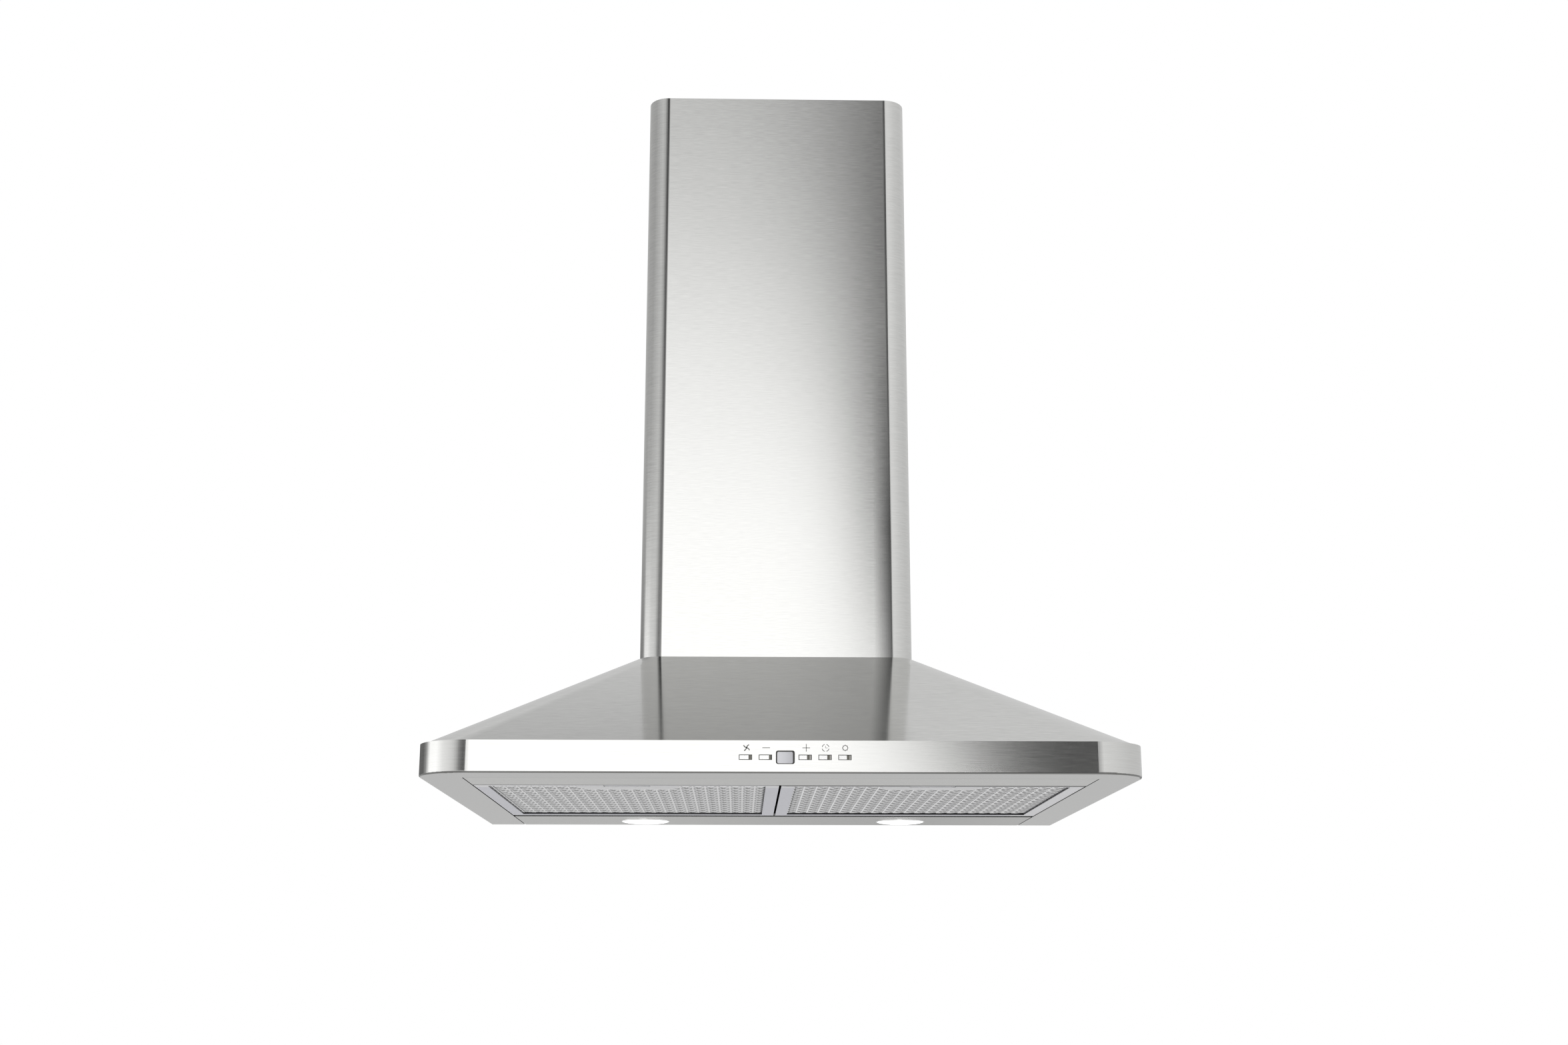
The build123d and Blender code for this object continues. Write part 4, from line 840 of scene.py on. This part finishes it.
low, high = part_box("display_window")
x, z = (low.x + high.x) / 2, (low.z + high.z) / 2
seal_outer = rounded(
    x - seal_half_width, x + seal_half_width, z - seal_half_height, z + seal_half_height, seal_corner,
)
seal_inner = rounded(x - window_left, x + window_right, z - window_bottom, z + window_top, window_corner)
seal = make_mesh("display_seal", *framed(seal_outer, seal_inner, seal_front, seal_inside, low.y))
seal.data.materials.append(dark_finish)
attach(seal, "hood")
window_finish, tree, shader = finish("display_window")
# Painted reflection and glow: the window is lighter at its left and darker at its right, and glows faintly in
# that colour.
across = spread(tree, position(tree)["X"], low.x, high.x)
across = maths(tree, "ADD", across, times(tree, noise(tree, coordinates(tree), 400.0), 0.06))
window_painted_sheen = ramp(tree, across, [(0.0, (0.78, 0.78, 0.81)), (0.5, (0.66, 0.66, 0.69)), (1.0, (0.48, 0.48, 0.51))])
link(tree, window_painted_sheen, shader, "Base Color")
link(tree, window_painted_sheen, shader, "Emission Color")
shader.inputs["Emission Strength"].default_value = 0.10
shader.inputs["Roughness"].default_value = 0.12
dressed(window_finish, "display_window")
module_finish = plastic("display_module", (0.10, 0.10, 0.12), 0.4)
dressed(module_finish, "display_module")


# ---- Flue covers ----
# Two brushed stainless sheets with rounded front edges, the upper one sliding inside the lower. They
# stand on feet on the canopy and hook to a wall bracket. The lower one is painted with lines of shade
# where its front edges begin to round, and with a broader painted shade beside the right one, low down.
front_edge_inset = 21.0 * mm
low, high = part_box("lower_flue_cover")
right = high.x - front_edge_inset
left = -right
upper_finish = brushed("brushed_stainless", stainless, 0.135, level_lines, 0.8, bump=0.010, contrast=0.05)
dressed(upper_finish, "upper_flue_cover")
flue_finish = brushed("flue_stainless", stainless, 0.135, short_lines, 0.8, bump=0.007, contrast=0.07)
tree, shader, bare = opened(flue_finish)
place = position(tree)
# Painted shade: dark lines where the front edges begin to round, and a broader shade beside the right one
# that deepens downwards.
left_edge_shade = stripe(tree, place["X"], left - 2.0 * mm, left - 0.8 * mm, left, left + 1.2 * mm)
right_edge_shade = stripe(tree, place["X"], right - 2.2 * mm, right - 0.4 * mm, right, right + 1.0 * mm)
shade_beside_right = stripe(tree, place["X"], right - 17 * mm, right, right, right + 1.5 * mm)
low_down = spread(tree, place["Z"], low.z + 340 * mm, low.z + 130 * mm, 0.0, 0.82)
edge_shades = maths(tree, "MAXIMUM", times(tree, left_edge_shade, 0.80), times(tree, right_edge_shade, 0.65))
painted_flue_shade = maths(tree, "MAXIMUM", edge_shades, times(tree, shade_beside_right, low_down))
link(tree, blended(tree, painted_flue_shade, bare, (0.04, 0.04, 0.04, 1)), shader, "Base Color")
dressed(flue_finish, "lower_flue_cover")


# ---- Grease filters ----
# Rolled aluminium frames hold stacked expanded mesh: a coarse sheet that shows, a second one whose
# strands lean the other way, and fine layers above. A stamped plate stiffens the frame behind each
# latch. Shade is painted on the frames' upright faces, along their rolled front edge and at their rear,
# and a highlight is painted on the undersides of the front bars and of the right filter's right bar.
# The coarse sheet carries painted shadow in rows, and the fine layers a painted shadow at their rear.
filter_front, filter_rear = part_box("left_filter_frame")[0].y, -114 * mm
mesh_rear = filter_rear - 9 * mm
front_bar_depth = 22 * mm
side_bar_width = 25 * mm
left_shadow_depth, right_shadow_depth = 3.6 * mm, 7.5 * mm
opening_width, opening_depth = 10.9 * mm, 7.2 * mm
strand_width, strand_thickness = 1.6 * mm, 0.35 * mm
bond_half = 1.15 * mm
tone_rows = 1.5 * opening_depth
coarse_height, second_height = -72.5 * mm, -71.5 * mm
bay_half, bay_rear = 34.5 * mm, -380 * mm
plate_half, plate_rear_half = 43.5 * mm, 36 * mm
plate_front, plate_shoulder, plate_rear = -390.5 * mm, -380 * mm, -369 * mm
plate_below, plate_above = 0.05 * mm, 0.9 * mm
even_lines = (700, 700, 700)
bright_plate_and_highlight = (0.98, 0.98, 1.0)
# Painted shade on the frames' upright faces.
frame_finish = brushed(
    "filter_aluminium", (0.84, 0.84, 0.895), 0.40, even_lines, bump=0.01, shaded_faces=(0.12, -0.5, 0.5),
)
tree, shader, bare = opened(frame_finish)
place = position(tree)
# Painted shade on the last few millimetres of the frame's rear.
rear_frame_shade = spread(tree, place["Y"], filter_rear + 5 * mm, filter_rear + 6 * mm, 0.0, 0.35)
front_bar = filter_front + front_bar_depth
right_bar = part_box("right_filter_frame")[1].x - side_bar_width
# Painted highlight on the undersides of the front bars and of the right filter's right bar.
highlight_bars = maths(
    tree, "MAXIMUM",
    spread(tree, place["Y"], front_bar, front_bar - 1 * mm),
    spread(tree, place["X"], right_bar, right_bar + 1 * mm),
)
highlight_bars = times(tree, highlight_bars, spread(tree, facing(tree)["Z"], -0.4, -0.6))
bare = blended(tree, highlight_bars, bare, (*bright_plate_and_highlight, 1))
# Painted shadow along the rolled front edge, deeper and wider on the right filter.
shadow_depth = spread(tree, place["X"], -5 * mm, 5 * mm, left_shadow_depth, right_shadow_depth)
shadow_strength = spread(tree, place["X"], -5 * mm, 5 * mm, 0.80, 0.96)
from_edge = maths(tree, "SUBTRACT", place["Y"], maths(tree, "ADD", shadow_depth, filter_front))
front_edge_shadow = times(tree, spread(tree, from_edge, 0.3 * mm, -0.3 * mm), shadow_strength)
painted_frame_shade = blended(tree, maths(tree, "MAXIMUM", front_edge_shadow, rear_frame_shade), bare, (0.03, 0.03, 0.03, 1))
link(tree, painted_frame_shade, shader, "Base Color")
plate_finish = brushed("tab_plate_aluminium", bright_plate_and_highlight, 0.40, even_lines, bump=0.01)
mesh_finish = brushed("mesh_aluminium", (0.97, 0.97, 0.99), 0.24, even_lines)
tree, shader, bare = opened(mesh_finish)
place = position(tree)
column = maths(tree, "PINGPONG", maths(tree, "DIVIDE", place["X"], opening_width), 0.5)
row = maths(tree, "ADD", maths(tree, "DIVIDE", place["Y"], tone_rows), column)
wave = maths(tree, "SINE", times(tree, row, math.tau))
between_bonds = spread(tree, column, 0.04, 0.10)
shadow = times(tree, spread(tree, wave, -0.5, 0.6, 0.02, 0.74), between_bonds)
link(tree, blended(tree, shadow, bare, (0.10, 0.10, 0.10, 1)), shader, "Base Color")
fine_finish, tree, shader = finish("mesh_fine_layers")
place = coordinates(tree)
cells = node(tree, "ShaderNodeTexVoronoi", {"feature": "DISTANCE_TO_EDGE"}, Vector=place, Scale=260.0)
fine_tone = ramp(tree, cells.outputs["Distance"], [(0.10, (0.80, 0.80, 0.82)), (0.30, (0.40, 0.40, 0.41))])
rear_shadow = spread(tree, position(tree)["Y"], mesh_rear - 2 * mm, mesh_rear)
link(tree, blended(tree, rear_shadow, fine_tone, (0.02, 0.02, 0.02, 1)), shader, "Base Color")
link(tree, spread(tree, noise(tree, place, 500.0), 0.3, 0.7, 0.35, 0.6), shader, "Roughness")
relief = node(tree, "ShaderNodeBump", Strength=0.6, Distance=0.001, Height=cells.outputs["Distance"])
link(tree, relief.outputs[0], shader, "Normal")
shader.inputs["Metallic"].default_value = 0.8


def strips(runs, section):
    """Closed strips that follow runs of points, each with the same four-cornered section."""
    points, faces = [], []
    for run in runs:
        for place in run:
            points += [(place[0] + a, place[1] + b, place[2] + c) for a, b, c in section]
        first = len(points) - 4 * len(run)
        for n in range(len(run) - 1):
            near, far = first + 4 * n, first + 4 * n + 4
            faces += [(near + k, near + (k + 1) % 4, far + (k + 1) % 4, far + k) for k in range(4)]
        faces += [(first + 3, first + 2, first + 1, first), tuple(len(points) - 4 + k for k in range(4))]
    return points, faces


def expanded_sheet(box, height, tilt, shift):
    """Slit and stretched sheet: tilted strands zigzag across, join at flat bonds and leave the latch's
    bay free."""
    low, high = box
    bay_middle = (low.x + high.x) / 2
    runs = []
    half = opening_width / 2
    row_pitch = opening_depth / 2
    swing = (opening_depth - 1.2 * strand_width) / 4
    rows = int((high.y - low.y) / row_pitch) + 1
    columns = int((high.x - low.x) / half) + 2
    for row in range(rows + 1):
        middle = low.y + row * row_pitch + shift
        run = []
        for column in range(columns):
            x = low.x + column * half + shift
            y = middle + (swing if (row + column) % 2 else -swing)
            inside = low.x + bond_half < x < high.x - bond_half and low.y < y < mesh_rear
            in_bay = abs(x - bay_middle) < bay_half and y < bay_rear
            if inside and not in_bay:
                run += [(x - bond_half, y, height), (x + bond_half, y, height)]
            elif run:
                runs.append(run)
                run = []
        if run:
            runs.append(run)
    lean = Vector((0, math.cos(tilt), math.sin(tilt))) * strand_width / 2
    thick = Vector((0, -math.sin(tilt), math.cos(tilt))) * strand_thickness / 2
    section = [lean + thick, lean - thick, -lean - thick, -lean + thick]
    return strips([run for run in runs if len(run) > 3], section)


for side in ("left", "right"):
    dressed(frame_finish, side + "_filter_frame")
    dressed(fine_finish, side + "_filter_layers")
    low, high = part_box(side + "_filter_frame")
    middle = (low.x + high.x) / 2
    outline = [
        (-plate_half, plate_front), (-plate_half, plate_shoulder), (-plate_rear_half, plate_rear),
        (plate_rear_half, plate_rear), (plate_half, plate_shoulder), (plate_half, plate_front),
    ]
    count = len(outline)
    points = [(middle + x, y, z) for z in (low.z - plate_below, low.z + plate_above) for x, y in outline]
    faces = [tuple(range(count)), tuple(range(2 * count - 1, count - 1, -1))]
    faces += [(n, (n + 1) % count, (n + 1) % count + count, n + count) for n in range(count)]
    plate = make_mesh(side + "_tab_plate", points, faces)
    plate.data.materials.append(plate_finish)
    softened(plate, 0.2 * mm)
    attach(plate, side + "_filter")
    for name, height, tilt, shift in (
        ("coarse", coarse_height, -0.95, 0.0),
        ("second", second_height, 0.35, 2.0 * mm),
    ):
        sheet = expanded_sheet(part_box(side + "_filter_mesh"), height, tilt, shift)
        piece = make_mesh(side + "_mesh_" + name, *sheet)
        piece.data.materials.append(mesh_finish)
        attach(piece, side + "_filter")
        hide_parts(side + "_filter_mesh")


# ---- Filter latches ----
# A grey plastic slide in each filter's front edge is drawn back with a finger, against two springs
# of wound steel wire that sit in the frame behind it.
spring_wire = 0.25 * mm
spring_turns = 7
latch_finish = plastic("latch_plastic", (0.72, 0.72, 0.74), 0.45)


def wound_spring(low, high, steps=16, sides=6):
    """Spring wire wound round the box's long axis, which points at the wall."""
    middle_x, middle_z = (low.x + high.x) / 2, (low.z + high.z) / 2
    radius = (high.x - low.x) / 2 - spring_wire
    points, faces = [], []
    count = spring_turns * steps
    for n in range(count + 1):
        turn = math.tau * n / steps
        y = low.y + spring_wire + (high.y - low.y - 2 * spring_wire) * n / count
        for k in range(sides):
            round_wire = math.tau * k / sides
            reach = radius + spring_wire * math.cos(round_wire)
            points.append((
                middle_x + reach * math.cos(turn), y + spring_wire * math.sin(round_wire),
                middle_z + reach * math.sin(turn),
            ))
    for n in range(count):
        near, far = sides * n, sides * (n + 1)
        faces += [(near + k, near + (k + 1) % sides, far + (k + 1) % sides, far + k) for k in range(sides)]
    return points, faces


for side in ("left", "right"):
    dressed(latch_finish, side + "_filter_latch")
    name = side + "_latch_springs"
    wires = together([wound_spring(*box) for box in islands(name)])
    springs = make_mesh(name + "_wound", *wires, smooth=True)
    springs.data.materials.append(spring_finish)
    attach(springs, side + "_filter")
    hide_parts(name)
    low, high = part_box(name)
    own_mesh(springs)

# The boxes round the solids and round the finished scene are kept side by side.
low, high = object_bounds()
